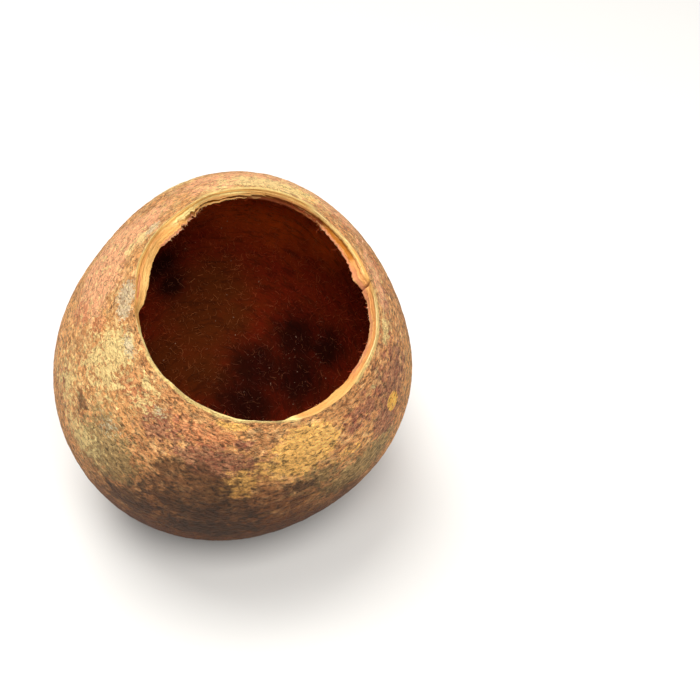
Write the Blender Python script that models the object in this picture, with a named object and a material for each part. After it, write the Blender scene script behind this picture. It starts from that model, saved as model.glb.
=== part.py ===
"""Dried bell cup pod: one round, woody fruit shell, cut open across its top and emptied.

It lies leaning on a small flat spot of its underside, with the ground at z = 0.
The pod is shaped upright, with the mouth's axis along its own +Z, and then leaned.
On it, polar is the angle down from the mouth's axis and around is the angle about it.
Lengths are in metres and angles in radians.
"""

import math

import bmesh
import bpy
import numpy as np
from mathutils import Matrix, Vector

MM = 0.001

# Driving dimensions
BODY_RADIUS = 37.0 * MM
MOUTH_POLAR = math.radians(39.7)
WALL_AT_BASE = 3.3 * MM
LEAN = math.radians(30.5)
LEAN_TOWARDS = math.radians(-62.6)

# The plan seen from the mouth: oval, a little three-cornered and four-cornered.
# Each row is lobes, share of the radius, and where the first lobe points.
PLAN_LOBES = (
    (2, 0.029, math.radians(74.3)),
    (3, 0.025, math.radians(-16.7)),
    (4, 0.011, math.radians(-1.9)),
)

# Shallow hollows and swellings of the rind: polar, around, height and spread.
RIND_LUMPS = (
    (math.radians(75), math.radians(150), -0.45 * MM, math.radians(20)),
    (math.radians(68), math.radians(205), 0.35 * MM, math.radians(17)),
    (math.radians(88), math.radians(262), -0.40 * MM, math.radians(16)),
    (math.radians(72), math.radians(312), 0.40 * MM, math.radians(18)),
    (math.radians(62), math.radians(15), -0.35 * MM, math.radians(15)),
    (math.radians(105), math.radians(55), 0.50 * MM, math.radians(24)),
    (math.radians(112), math.radians(175), -0.50 * MM, math.radians(22)),
    (math.radians(125), math.radians(340), 0.40 * MM, math.radians(20)),
)

# The stalk's scar is a shallow dish with a raised edge, at the pole opposite the mouth.
SCAR_SPREAD = math.radians(4.2)
SCAR_DEPTH = 0.8 * MM
SCAR_EDGE_HEIGHT = 0.3 * MM
SCAR_REACH = math.radians(9)

# The flat spot that it rests on, pressed this deep into the round underside
REST_DEPTH = 1.0 * MM
REST_EASE = 0.3 * MM

# The cut edge of the mouth is slightly oval and waves where the blade turned.
MOUTH_OVAL = math.radians(0.85)
MOUTH_OVAL_AROUND = math.radians(-59.7)
MOUTH_WAVES = (
    (5, math.radians(0.30), 0.4),
    (9, math.radians(0.20), 2.1),
    (14, math.radians(0.14), 4.0),
)

# The wall at the mouth, by angle around: thickness, how far the cut leans inwards, and how
# far the blade strayed outwards.
RIM_WALL = (
    (math.radians(0), 2.5 * MM, math.radians(-1.4), math.radians(0.0)),
    (math.radians(12), 2.75 * MM, math.radians(-1.6), math.radians(0.0)),
    (math.radians(20), 2.9 * MM, math.radians(-0.75), math.radians(0.0)),
    (math.radians(26), 3.1 * MM, math.radians(1.4), math.radians(0.0)),
    (math.radians(33), 2.8 * MM, math.radians(0.65), math.radians(0.0)),
    (math.radians(40), 2.8 * MM, math.radians(0.35), math.radians(0.0)),
    (math.radians(48), 2.65 * MM, math.radians(-0.5), math.radians(0.0)),
    (math.radians(60), 2.5 * MM, math.radians(-1.0), math.radians(0.0)),
    (math.radians(95), 2.5 * MM, math.radians(-1.3), math.radians(0.0)),
    (math.radians(112), 2.7 * MM, math.radians(-1.95), math.radians(0.0)),
    (math.radians(120), 2.8 * MM, math.radians(-2.9), math.radians(0.0)),
    (math.radians(133), 2.95 * MM, math.radians(0.9), math.radians(0.0)),
    (math.radians(139), 3.0 * MM, math.radians(2.05), math.radians(0.0)),
    (math.radians(146), 3.0 * MM, math.radians(1.9), math.radians(0.0)),
    (math.radians(153), 3.0 * MM, math.radians(0.15), math.radians(0.0)),
    (math.radians(175), 3.1 * MM, math.radians(1.3), math.radians(0.0)),
    (math.radians(180), 3.1 * MM, math.radians(0.75), math.radians(0.0)),
    (math.radians(186), 3.0 * MM, math.radians(0.2), math.radians(0.0)),
    (math.radians(191), 2.7 * MM, math.radians(-1.5), math.radians(0.0)),
    (math.radians(197), 2.55 * MM, math.radians(-1.2), math.radians(0.0)),
    (math.radians(204), 2.4 * MM, math.radians(-1.3), math.radians(0.25)),
    (math.radians(214), 2.4 * MM, math.radians(-1.3), math.radians(0.3)),
    (math.radians(224), 2.35 * MM, math.radians(-1.2), math.radians(-0.15)),
    (math.radians(233), 2.35 * MM, math.radians(-1.15), math.radians(-0.7)),
    (math.radians(248), 2.3 * MM, math.radians(-1.05), math.radians(-0.7)),
    (math.radians(258), 2.4 * MM, math.radians(-0.8), math.radians(0.0)),
    (math.radians(264), 2.5 * MM, math.radians(-0.7), math.radians(0.1)),
    (math.radians(274), 2.6 * MM, math.radians(-1.5), math.radians(-1.3)),
    (math.radians(282), 2.6 * MM, math.radians(-1.8), math.radians(-1.3)),
    (math.radians(288), 2.65 * MM, math.radians(-1.6), math.radians(-0.9)),
    (math.radians(294), 2.7 * MM, math.radians(-0.4), math.radians(-0.6)),
    (math.radians(302), 2.75 * MM, math.radians(0.1), math.radians(-0.4)),
    (math.radians(310), 2.8 * MM, math.radians(-0.1), math.radians(-0.45)),
    (math.radians(318), 2.8 * MM, math.radians(0.4), math.radians(-0.3)),
    (math.radians(328), 2.8 * MM, math.radians(-0.25), math.radians(-0.1)),
    (math.radians(340), 2.8 * MM, math.radians(-0.9), math.radians(0.2)),
    (math.radians(350), 2.65 * MM, math.radians(-1.25), math.radians(0.1)),
)

# Across the cut: share of the wall, and how far that row is sunk below the straight cut.
# The skin's edge stands as a lip, then a crease, then the woody wall.
CUT_ROWS = (
    (0.13, -0.06 * MM),
    (0.27, 0.02 * MM),
    (0.36, 0.42 * MM),
    (0.50, 0.24 * MM),
    (0.76, 0.12 * MM),
)

# The inner edge is torn in two stretches: each one's middle, half its length, and depth.
TORN_STRETCHES = (
    (math.radians(112), math.radians(30), 0.34 * MM),
    (math.radians(8), math.radians(58), 0.24 * MM),
)
TORN_WAVES = ((13, 1.3), (23, 0.2), (37, 4.4), (53, 2.7))

# The inner face has broad lumps where the pulp was scraped off.
LINING_LUMPS = ((4, 3, 0.7), (7, 5, 2.9), (11, 8, 5.1))
LINING_LUMP_HEIGHT = 0.20 * MM

# Columns of faces round the mouth, and rows from it to the pole
MOUTH_COLUMNS = 128
OUTER_ROWS = 32
INNER_ROWS = 24
RIM_BAND_ROWS = 3
POLE_COLUMNS = 16
POLE_SPACING = 1.7 * MM
OUTER_SCAR_ROWS = 8
INNER_POLE_ROWS = 3

RIND_COLOUR = (0.45, 0.25, 0.11, 1.0)
RIND_ROUGHNESS = 0.78


def lean_matrix():
    """The turn that leans the upright pod towards LEAN_TOWARDS."""
    axis = Vector((-math.sin(LEAN_TOWARDS), math.cos(LEAN_TOWARDS), 0.0))
    return Matrix.Rotation(LEAN, 3, axis)


def direction(polar, around):
    """Unit vectors from the pod's centre."""
    side = np.sin(polar)
    return np.stack([side * np.cos(around), side * np.sin(around), np.cos(polar)], axis=-1)


def angle_from(ways, polar, around):
    """The angle between each unit vector and the one that polar and around give."""
    return np.arccos(np.clip(ways @ direction(np.float64(polar), np.float64(around)), -1.0, 1.0))


def smooth_lower(a, b, ease):
    """The lower of a and b, with the corner between them eased over that difference."""
    near = np.maximum(ease - np.abs(a - b), 0.0) / ease
    return np.minimum(a, b) - near * near * ease / 4


def round_the_mouth(around, column):
    """One column of RIM_WALL at these angles around, eased from each row to the next."""
    whole = 2 * math.pi
    stops = [row[0] for row in RIM_WALL] + [RIM_WALL[0][0] + whole]
    values = [row[column] for row in RIM_WALL] + [RIM_WALL[0][column]]
    turned = np.mod(around, whole)
    after = np.clip(np.searchsorted(stops, turned, side="right"), 1, len(stops) - 1)
    start, end = np.take(stops, after - 1), np.take(stops, after)
    share = (turned - start) / (end - start)
    eased = share * share * (3 - 2 * share)
    return np.take(values, after - 1) * (1 - eased) + np.take(values, after) * eased


def mouth_polar(around):
    """Polar angle of the mouth's outer edge."""
    edge = MOUTH_POLAR + MOUTH_OVAL * np.cos(2 * (around - MOUTH_OVAL_AROUND))
    for waves, height, phase in MOUTH_WAVES:
        edge = edge + height * np.sin(waves * around + phase)
    return edge + round_the_mouth(around, 3)


def scar_height(polar):
    """The stalk's scar: a dish, and a ring raised round it."""
    off = (math.pi - polar) / SCAR_SPREAD
    dish = -SCAR_DEPTH * np.exp(-(off**4))
    ring = SCAR_EDGE_HEIGHT * np.exp(-(((off - 1.35) / 0.35) ** 2))
    return dish + ring


def body_radius(polar, around):
    """Distance from the centre to the plain fruit, with its lobes and lumps."""
    share = np.ones(np.broadcast(polar, around).shape)
    for lobes, height, points in PLAN_LOBES:
        share = share + height * np.sin(polar) ** lobes * np.cos(lobes * (around - points))
    radius = BODY_RADIUS * share
    ways = direction(polar, around)
    for lump_polar, lump_around, height, spread in RIND_LUMPS:
        off = angle_from(ways, lump_polar, lump_around) / spread
        radius = radius + height * np.exp(-(off**2))
    return radius


def outer_radius(polar, around):
    """Distance from the centre to the rind, with its scar and the flat spot underneath."""
    down = np.array(lean_matrix().transposed() @ Vector((0.0, 0.0, -1.0)))
    towards_ground = np.maximum(direction(polar, around) @ down, math.cos(math.pi / 3))
    ground = (BODY_RADIUS - REST_DEPTH) / towards_ground
    return smooth_lower(body_radius(polar, around) + scar_height(polar), ground, REST_EASE)


def wall(polar, around):
    """Thickness of the shell: the rim's near the mouth, easing to the base's."""
    share = np.clip((polar - MOUTH_POLAR) / (math.pi / 2 - MOUTH_POLAR), 0.0, 1.0)
    eased = share * share * (3 - 2 * share)
    lumps = sum(
        np.sin(up * polar + phase) * np.cos(turns * around - phase)
        for up, turns, phase in LINING_LUMPS
    )
    plain = round_the_mouth(around, 1) * (1 - eased) + WALL_AT_BASE * eased
    return plain + LINING_LUMP_HEIGHT * lumps * np.sin(polar) * eased


def inner_radius(polar, around):
    return body_radius(polar, around) - wall(polar, around)


def torn(around):
    """How far the torn inner edge stands from its smooth line."""
    depth = np.zeros(len(around))
    for middle, half_length, deepest in TORN_STRETCHES:
        off = np.mod(around - middle + math.pi, 2 * math.pi) - math.pi
        depth = depth + deepest * np.exp(-((off / half_length) ** 4))
    return depth * sum(np.sin(waves * around + phase) for waves, phase in TORN_WAVES)


def outer_ring(columns, share):
    """A ring of the rind: share 0 is the mouth's edge and 1 is the pole."""
    around = np.arange(columns) * (2 * math.pi / columns)
    polar = mouth_polar(around) * (1 - share) + math.pi * share
    return direction(polar, around) * outer_radius(polar, around)[:, None]


def inner_edge_polar(around):
    return mouth_polar(around) - round_the_mouth(around, 2)


def inner_ring(columns, share):
    """A ring of the inner face: share 0 is the cut's inner edge and 1 is the pole."""
    around = np.arange(columns) * (2 * math.pi / columns)
    polar = inner_edge_polar(around) * (1 - share) + math.pi * share
    edge = torn(around) * max(0.0, 1 - share * INNER_ROWS / 2)
    return direction(polar, around) * (inner_radius(polar, around) + edge)[:, None]


def cut_rings(columns):
    """The rings across the cut, from just inside the lip to just outside the inner edge."""
    around = np.arange(columns) * (2 * math.pi / columns)
    lip = outer_ring(columns, 0.0)
    edge = inner_ring(columns, 0.0)
    across = edge - lip
    along = np.stack([-np.sin(around), np.cos(around), np.zeros(columns)], axis=-1)
    into_wall = np.cross(across, along)
    into_wall /= np.linalg.norm(into_wall, axis=1, keepdims=True)
    into_wall *= -np.sign(into_wall[:, 2:])
    return [lip + across * share + into_wall * sunk for share, sunk in CUT_ROWS]


def add_ring(bm, points):
    return [bm.verts.new(point) for point in points]


def join_rings(bm, wide, narrow):
    """Faces between two rings, where the second has as many vertices, or half as many."""
    count = len(narrow)
    if len(wide) == count:
        for i in range(count):
            j = (i + 1) % count
            bm.faces.new((wide[i], wide[j], narrow[j], narrow[i]))
        return
    for i in range(count):
        left, middle, right = wide[2 * i], wide[2 * i + 1], wide[(2 * i + 2) % len(wide)]
        near, far = narrow[i], narrow[(i + 1) % count]
        bm.faces.new((left, middle, near))
        bm.faces.new((middle, far, near))
        bm.faces.new((middle, right, far))


def columns_at(share):
    """Columns of a ring below the rim's band, halved as the pole draws the rings in."""
    columns = MOUTH_COLUMNS // 2
    polar = MOUTH_POLAR * (1 - share) + math.pi * share
    ring_length = 2 * math.pi * BODY_RADIUS * math.sin(polar)
    while columns > POLE_COLUMNS and polar > math.pi / 2 and ring_length / columns < POLE_SPACING:
        columns //= 2
    return columns


def row_shares(rows, finer_rows):
    """How far down each row lies: even rows, then finer ones where the scar is."""
    scar_top = 1 - SCAR_REACH / (math.pi - MOUTH_POLAR)
    even = [scar_top * row / rows for row in range(1, rows + 1)]
    return even + [scar_top + (1 - scar_top) * row / finer_rows for row in range(1, finer_rows)]


def add_face(bm, first_ring, ring_at, shares):
    """A face of the shell, from its edge at the mouth down to its pole."""
    last = first_ring
    for row, share in enumerate(shares, 1):
        columns = MOUTH_COLUMNS if row <= RIM_BAND_ROWS else columns_at(share)
        ring = add_ring(bm, ring_at(columns, share))
        join_rings(bm, last, ring)
        last = ring
    pole = bm.verts.new(ring_at(1, 1.0)[0])
    for i, corner in enumerate(last):
        bm.faces.new((corner, last[(i + 1) % len(last)], pole))


def shell_mesh():
    """The whole shell as one closed surface: rind, cut edge and inner face."""
    bm = bmesh.new()
    lip = add_ring(bm, outer_ring(MOUTH_COLUMNS, 0.0))
    add_face(bm, lip, outer_ring, row_shares(OUTER_ROWS, OUTER_SCAR_ROWS))
    last = lip
    for points in cut_rings(MOUTH_COLUMNS):
        ring = add_ring(bm, points)
        join_rings(bm, last, ring)
        last = ring
    edge = add_ring(bm, inner_ring(MOUTH_COLUMNS, 0.0))
    join_rings(bm, last, edge)
    add_face(bm, edge, inner_ring, row_shares(INNER_ROWS, INNER_POLE_ROWS))
    bmesh.ops.triangulate(bm, faces=bm.faces)
    bmesh.ops.recalc_face_normals(bm, faces=bm.faces)
    mesh = bpy.data.meshes.new("pod_shell")
    bm.to_mesh(mesh)
    bm.free()
    mesh.shade_smooth()
    mesh.set_sharp_from_angle(angle=math.radians(40))
    return mesh


def rind_material():
    material = bpy.data.materials.new("dried_rind")
    material.use_nodes = True
    shader = material.node_tree.nodes["Principled BSDF"]
    shader.inputs["Base Color"].default_value = RIND_COLOUR
    shader.inputs["Roughness"].default_value = RIND_ROUGHNESS
    shader.inputs["Metallic"].default_value = 0.0
    return material


def settle(pod):
    """Leans the pod and stands it on z = 0, with the origin under the middle of its box."""
    pod.rotation_euler = lean_matrix().to_euler()
    bpy.context.view_layer.update()
    points = np.array([pod.matrix_world @ vertex.co for vertex in pod.data.vertices])
    low, high = points.min(axis=0), points.max(axis=0)
    pod.location = (-(low[0] + high[0]) / 2, -(low[1] + high[1]) / 2, -low[2])


def main():
    for old in list(bpy.data.objects):
        bpy.data.objects.remove(old)
    pod = bpy.data.objects.new("pod_shell", shell_mesh())
    bpy.context.scene.collection.objects.link(pod)
    pod.data.materials.append(rind_material())
    settle(pod)


main()
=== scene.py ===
"""Dried bell cup pod: its rind, cut edge, woolly lining and a plain stage to see it on.

The pod is shaped upright, with the mouth's axis along its own +Z, and is then leaned and set
where the solid shell stands. On it, polar is the angle down from the mouth's axis and around
is the angle about it. Lengths are in metres and angles in radians unless a name says mm.
"""

import math

import bmesh
import bpy
import numpy as np
from bpy.props import FloatProperty, FloatVectorProperty, IntProperty, PointerProperty
from mathutils import Matrix, Vector, noise


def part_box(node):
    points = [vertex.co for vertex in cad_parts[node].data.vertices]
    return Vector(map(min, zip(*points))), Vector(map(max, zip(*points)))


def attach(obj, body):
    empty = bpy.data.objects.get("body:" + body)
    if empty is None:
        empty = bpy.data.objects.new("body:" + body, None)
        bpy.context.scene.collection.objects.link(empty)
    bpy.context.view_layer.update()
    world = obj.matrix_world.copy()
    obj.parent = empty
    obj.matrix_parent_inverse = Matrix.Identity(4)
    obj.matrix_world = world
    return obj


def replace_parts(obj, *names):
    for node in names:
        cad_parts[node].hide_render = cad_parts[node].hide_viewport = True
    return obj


bl_info = {
    "name": "Dried Bell Cup Pod",
    "version": (1, 0, 0),
    "blender": (4, 5, 0),
    "location": "View3D > Sidebar > Pod",
    "description": "Builds a dried, emptied bell cup pod with its torn rim and felted inside",
    "category": "Object",
}

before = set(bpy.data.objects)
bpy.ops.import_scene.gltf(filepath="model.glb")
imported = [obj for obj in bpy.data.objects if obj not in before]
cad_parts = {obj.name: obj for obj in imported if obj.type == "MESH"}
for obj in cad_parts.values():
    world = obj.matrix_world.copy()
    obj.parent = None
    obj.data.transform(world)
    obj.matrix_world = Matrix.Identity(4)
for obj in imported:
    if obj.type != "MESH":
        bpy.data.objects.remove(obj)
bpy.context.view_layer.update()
SHELL_LOW, SHELL_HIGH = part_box("pod_shell")

MM = 0.001
WHOLE_TURN = 2 * math.pi

# The shell's form, with the same values as the solid
BODY_RADIUS_MM = 37.0
BODY_RADIUS = BODY_RADIUS_MM * MM
MOUTH_POLAR = math.radians(39.7)
WALL_AT_BASE = 3.3 * MM
LEAN = math.radians(30.5)
LEAN_TOWARDS = math.radians(-62.6)

# Lobes seen from above: how many, their share of the radius, and degrees around of one
PLAN_LOBES = ((2, 0.029, 74.3), (3, 0.025, -16.7), (4, 0.011, -1.9))

# Lumps of the rind: degrees polar and around, height in mm, and spread in degrees
RIND_LUMPS = (
    (75, 150, -0.45, 20),
    (68, 205, 0.35, 17),
    (88, 262, -0.40, 16),
    (72, 312, 0.40, 18),
    (62, 15, -0.35, 15),
    (105, 55, 0.50, 24),
    (112, 175, -0.50, 22),
    (125, 340, 0.40, 20),
)

# The stalk's scar, the flat spot it rests on, and the mouth's waves: how many, degrees, phase
SCAR_SPREAD = math.radians(4.2)
SCAR_DEPTH = 0.8 * MM
SCAR_EDGE_HEIGHT = 0.3 * MM
REST_DEPTH = 1.0 * MM
REST_EASE = 0.3 * MM
MOUTH_OVAL = math.radians(0.85)
MOUTH_OVAL_AROUND = math.radians(-59.7)
MOUTH_WAVES = ((5, 0.30, 0.4), (9, 0.20, 2.1), (14, 0.14, 4.0))
LINING_LUMPS = ((4, 3, 0.7), (7, 5, 2.9), (11, 8, 5.1))
LINING_LUMP_HEIGHT = 0.20 * MM

# The wall at the mouth, by degrees around: thickness in mm, degrees that the cut leans in,
# and degrees that the blade strayed outwards.
RIM_WALL = (
    (0, 2.5, -1.4, 0.0),
    (12, 2.75, -1.6, 0.0),
    (20, 2.9, -0.75, 0.0),
    (26, 3.1, 1.4, 0.0),
    (33, 2.8, 0.65, 0.0),
    (40, 2.8, 0.35, 0.0),
    (48, 2.65, -0.5, 0.0),
    (60, 2.5, -1.0, 0.0),
    (95, 2.5, -1.3, 0.0),
    (112, 2.7, -1.95, 0.0),
    (120, 2.8, -2.9, 0.0),
    (133, 2.95, 0.9, 0.0),
    (139, 3.0, 2.05, 0.0),
    (146, 3.0, 1.9, 0.0),
    (153, 3.0, 0.15, 0.0),
    (175, 3.1, 1.3, 0.0),
    (180, 3.1, 0.75, 0.0),
    (186, 3.0, 0.2, 0.0),
    (191, 2.7, -1.5, 0.0),
    (197, 2.55, -1.2, 0.0),
    (204, 2.4, -1.3, 0.25),
    (214, 2.4, -1.3, 0.3),
    (224, 2.35, -1.2, -0.15),
    (233, 2.35, -1.15, -0.7),
    (248, 2.3, -1.05, -0.7),
    (258, 2.4, -0.8, 0.0),
    (264, 2.5, -0.7, 0.1),
    (274, 2.6, -1.5, -1.3),
    (282, 2.6, -1.8, -1.3),
    (288, 2.65, -1.6, -0.9),
    (294, 2.7, -0.4, -0.6),
    (302, 2.75, 0.1, -0.4),
    (310, 2.8, -0.1, -0.45),
    (318, 2.8, 0.4, -0.3),
    (328, 2.8, -0.25, -0.1),
    (340, 2.8, -0.9, 0.2),
    (350, 2.65, -1.25, 0.1),
)

# The cut edge, by degrees around: the crease's place and half-width as shares of the wall,
# its depth in mm, how far the wood inside it is sunk, how high its layers stand, and how
# far its inner edge is torn, all in mm.
RIM_RELIEF = (
    (0, 0.28, 0.07, 0.12, 0.06, 0.02, 0.14),
    (18, 0.30, 0.08, 0.16, 0.08, 0.02, 0.20),
    (30, 0.46, 0.10, 0.24, 0.14, 0.02, 0.32),
    (46, 0.54, 0.15, 0.52, 0.30, 0.03, 0.34),
    (60, 0.62, 0.18, 0.52, 0.45, 0.04, 0.26),
    (76, 0.74, 0.24, 0.34, 0.60, 0.05, 0.12),
    (96, 0.74, 0.24, 0.30, 0.60, 0.06, 0.12),
    (112, 0.72, 0.18, 0.26, 0.40, 0.08, 0.30),
    (122, 0.76, 0.10, 0.25, 0.22, 0.08, 0.60),
    (130, 0.80, 0.08, 0.20, 0.10, 0.05, 0.90),
    (147, 0.20, 0.05, 0.14, 0.03, 0.02, 0.50),
    (153, 0.20, 0.05, 0.14, 0.03, 0.02, 0.16),
    (182, 0.20, 0.05, 0.16, 0.06, 0.03, 0.10),
    (196, 0.30, 0.08, 0.12, 0.08, 0.02, 0.05),
    (215, 0.30, 0.08, 0.06, 0.06, 0.02, 0.03),
    (292, 0.30, 0.08, 0.08, 0.08, 0.02, 0.04),
    (330, 0.28, 0.07, 0.10, 0.06, 0.02, 0.12),
)

# Colours on the cut edge: kind, degrees from and to and how softly it ends there, shares
# of the wall that it starts and ends at, and its strength. The darkest tint, on the inner half
# of the cut at the top, is painted shade; the amber tint is partly the wood's colour and partly
# painted shade in the groove; the cream from 28 to 66 degrees is painted light on a slope
# that faces away from the lamps.
RIM_TINTS = (
    ("cream", 202, 292, 6, -0.2, 1.2, 0.90),
    ("cream", 296, 328, 8, -0.2, 0.40, 0.25),
    ("cream", 328, 376, 8, -0.2, 0.26, 0.40),
    # Painted light: this cream lifts the slope down into the crease, which faces away from the lamps
    ("cream", 28, 66, 8, 0.16, 0.38, 0.60),
    ("cream", 66, 104, 8, 0.16, 0.38, 0.35),
    ("cream", 104, 136, 8, 0.22, 0.58, 0.80),
    ("cream", 158, 190, 8, 0.45, 1.2, 0.30),
    ("orange", 150, 190, 10, 0.16, 0.42, 0.55),
    ("orange", 332, 392, 10, 0.26, 1.2, 0.85),
    ("orange", 296, 332, 8, 0.30, 1.2, 0.38),
    ("orange", 56, 84, 6, 0.38, 0.60, 1.00),
    # Partly the wood's colour and partly painted shade in the groove
    ("amber_and_shade", 38, 60, 5, 0.42, 0.96, 1.00),
    ("amber_and_shade", 60, 112, 6, 0.58, 0.68, 0.60),
    ("amber_and_shade", 104, 127, 6, 0.62, 1.2, 0.85),
    # Painted shade on the inner half of the cut at the top, which lies in shade inside the mouth
    ("painted_top_shade", 62, 104, 8, 0.60, 1.2, 0.95),
    ("pink", 28, 56, 6, 0.86, 1.2, 0.95),
    ("pink", 120, 150, 4, 0.82, 1.2, 0.90),
    ("pink", 336, 388, 8, 0.64, 1.2, 0.75),
    ("stain", 174, 184, 3, 0.02, 0.36, 0.90),
    ("lip", 200, 292, 8, -0.2, 0.14, 0.90),
    ("lip", 292, 342, 8, -0.2, 0.14, 0.20),
    ("lip", 342, 370, 8, -0.2, 0.14, 0.80),
    ("lip", 44, 66, 8, -0.2, 0.14, 0.75),
    ("seam", 68, 122, 6, -0.2, 0.17, 0.35),
    ("seam", 122, 192, 6, -0.2, 0.17, 0.80),
    ("split", 96, 130, 8, 0.40, 0.95, 0.80),
)
TINT_COLOURS = {
    "cream": "#F4DA90",
    "orange": "#CC8A50",
    # Partly the wood's colour and partly painted shade in the groove
    "amber_and_shade": "#A6621A",
    # Painted shade on the inner half of the cut at the top
    "painted_top_shade": "#622606",
    "pink": "#C07C58",
    "stain": "#B86040",
    "lip": "#F8E0A0",
    "seam": "#CC9850",
}

CUT_MARKS = (*TINT_COLOURS, "split", "crease", "crack")

# Where the skin next to the mouth is cream: degrees from and to and how softly it ends there,
# width in mm, and its strength
LIP_SKIN = (
    (70, 118, 10, 1.2, 0.8),
    (124, 172, 6, 0.5, 0.8),
    (216, 258, 6, 0.6, 1.0),
    (258, 292, 6, 0.4, 0.7),
    (330, 374, 6, 0.8, 0.8),
)

# How far from the mouth's axis the rim lies, outside and inside, and how it is nicked and torn
RIM_RADIUS = 22.0 * MM
INNER_EDGE_RADIUS = 21 * MM
NICK_DEPTH = 0.09 * MM
CUT_ROUGHNESS = 0.05 * MM
TORN_ZONE = 1.6 * MM

# The dry crack through the rim: where it meets the skin and the inner edge, and its size
CRACK_AT_SKIN = math.radians(21.6)
CRACK_AT_INSIDE = math.radians(19.6)
CRACK_HALF_WIDTH = 0.16 * MM
CRACK_DEPTH = 0.8 * MM

# Rows across the cut, as shares of the wall
CUT_SHARES = (
    0.03, 0.07, 0.11, 0.15, 0.19, 0.23, 0.27, 0.31, 0.36, 0.41,
    0.46, 0.51, 0.57, 0.63, 0.70, 0.77, 0.84, 0.90, 0.96,
)

# The mesh: columns of each ring, and heights of the rows, which grow away from the cut
RIM_COLUMNS = 768
RIND_COLUMNS = 384
LINING_COLUMNS = 192
POLE_COLUMNS = 12
FIRST_ROW = 0.16 * MM
ROW_GROWTH = 1.25
RIND_ROW = 0.58 * MM
LINING_ROW = 1.05 * MM
RIM_ZONE = 1.2 * MM
NARROWEST_SHARE = 0.56

# Coloured patches of the rind: for each, degrees polar and around, half its size in mm around
# the pod and down it, and its strength
RIND_PATCHES = {
    "peach": (
        (57, 165, 14.0, 8.0, 1.2), (50, 148, 10.0, 5.0, 1.0), (47, 110, 12.0, 4.0, 0.8),
        (84, 80, 20.0, 9.0, 0.8), (52, 84, 22.0, 6.0, 1.2), (45, 30, 9.0, 4.0, 0.7),
        (44, 18, 8.0, 3.0, 0.8),
    ),
    "rust": (
        (53, 192, 2.4, 2.2, 1.1), (49, 226, 9.0, 3.0, 0.7), (47, 254, 10.0, 3.6, 0.9),
        (46, 57, 6.0, 3.0, 0.7), (62, 184, 4.0, 5.0, 0.8), (50, 322, 9.0, 4.0, 0.7),
        (46, 355, 10.0, 6.0, 0.5), (50, 32, 9.0, 5.0, 0.7), (80, 140, 12.0, 7.0, 0.8),
        (96, 96, 15.0, 8.0, 0.9), (118, 130, 16.0, 9.0, 0.8), (104, 2, 12.0, 7.0, 0.8),
    ),
    "plum": (
        (54, 345, 12.0, 9.0, 0.75), (50, 328, 10.0, 6.0, 0.65), (54, 262, 12.0, 4.0, 1.0),
        (62, 332, 5.0, 5.0, 1.1), (47, 271, 3.0, 1.8, 0.8), (46, 12, 7.0, 2.6, 0.6),
        (52, 318, 6.0, 3.0, 0.7), (74, 200, 4.0, 5.0, 0.6), (75, 20, 12.0, 7.0, 0.8),
        (51, 239, 6.0, 5.0, 0.8), (72, 104, 10.0, 6.0, 0.9), (122, 90, 13.0, 8.0, 0.9),
        (94, 176, 10.0, 7.0, 0.8),
    ),
    "gold": (
        (50, 297, 7.0, 5.0, 1.4), (55, 290, 8.0, 4.0, 1.0), (61, 272, 4.5, 5.0, 0.9),
        (41.5, 265, 3.6, 0.9, 1.1), (60, 312, 6.0, 3.0, 0.6), (47, 75, 6.0, 3.0, 0.8),
        (95, 30, 12.0, 8.0, 0.7), (100, 120, 14.0, 9.0, 0.8), (120, 20, 12.0, 8.0, 0.8),
    ),
    "olive": (
        (72, 229, 9.0, 8.0, 1.0), (64, 222, 6.0, 4.0, 0.7), (72, 318, 12.0, 5.0, 1.1),
        (64, 300, 9.0, 4.0, 0.8), (110, 70, 12.0, 8.0, 0.6), (84, 128, 13.0, 7.0, 0.9),
        (125, 200, 14.0, 9.0, 0.8),
    ),
    "pale": (
        (48, 205, 5.0, 4.0, 1.1), (57, 203, 0.9, 2.2, 1.6), (54, 209, 8.0, 7.0, 0.7),
        (45.5, 153, 2.0, 1.6, 1.2), (47, 160, 1.8, 1.0, 1.0), (47, 88, 12.0, 4.0, 1.0),
        (54, 76, 8.0, 4.0, 0.5), (78, 220, 7.0, 5.0, 0.8), (72, 203, 8.0, 7.0, 0.6),
        (49, 229, 4.0, 3.0, 0.6), (44, 112, 4.0, 1.4, 0.8), (44, 359, 3.0, 2.0, 0.8),
        (47, 333, 3.0, 1.0, 0.6), (44, 225, 4.0, 1.6, 0.7), (68, 118, 7.0, 5.0, 0.9),
        (92, 62, 9.0, 6.0, 0.8),
    ),
    "grey": (
        (42, 183, 2.8, 2.4, 1.2), (43, 190, 2.4, 2.0, 1.0), (43.5, 207, 3.0, 1.4, 0.9),
        (44, 147, 2.0, 1.2, 1.0), (47.5, 236, 2.0, 1.4, 0.6), (64, 225, 4.0, 3.0, 0.5),
    ),
    # Partly the skin's own brown and partly painted shade low on the front
    "brown_and_shade": (
        (63.5, 257, 8.0, 5.0, 1.35), (73, 262, 14.0, 7.0, 1.0), (65, 292, 7.0, 2.4, 0.8),
        (48, 270, 2.2, 1.6, 0.6), (84, 243, 7.0, 6.0, 0.9), (85, 268, 12.0, 6.0, 1.0),
        (62, 171, 1.2, 0.4, 1.5), (68, 212, 2.5, 3.0, 0.8), (106, 150, 9.0, 5.0, 0.6),
    ),
    "chip": (
        (60.0, 338.6, 2.0, 2.1, 1.5),
    ),
}

# Painted shade on the lower front of the rind, which is also smoother: which way it faces,
# and how nearly the rind has to face that way for the painted shade to start and to be full.
PAINTED_SHADE_WAY = Vector((-0.04, -0.6, -0.8)).normalized()
PAINTED_SHADE_EDGE = (0.30, 0.86)

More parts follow.
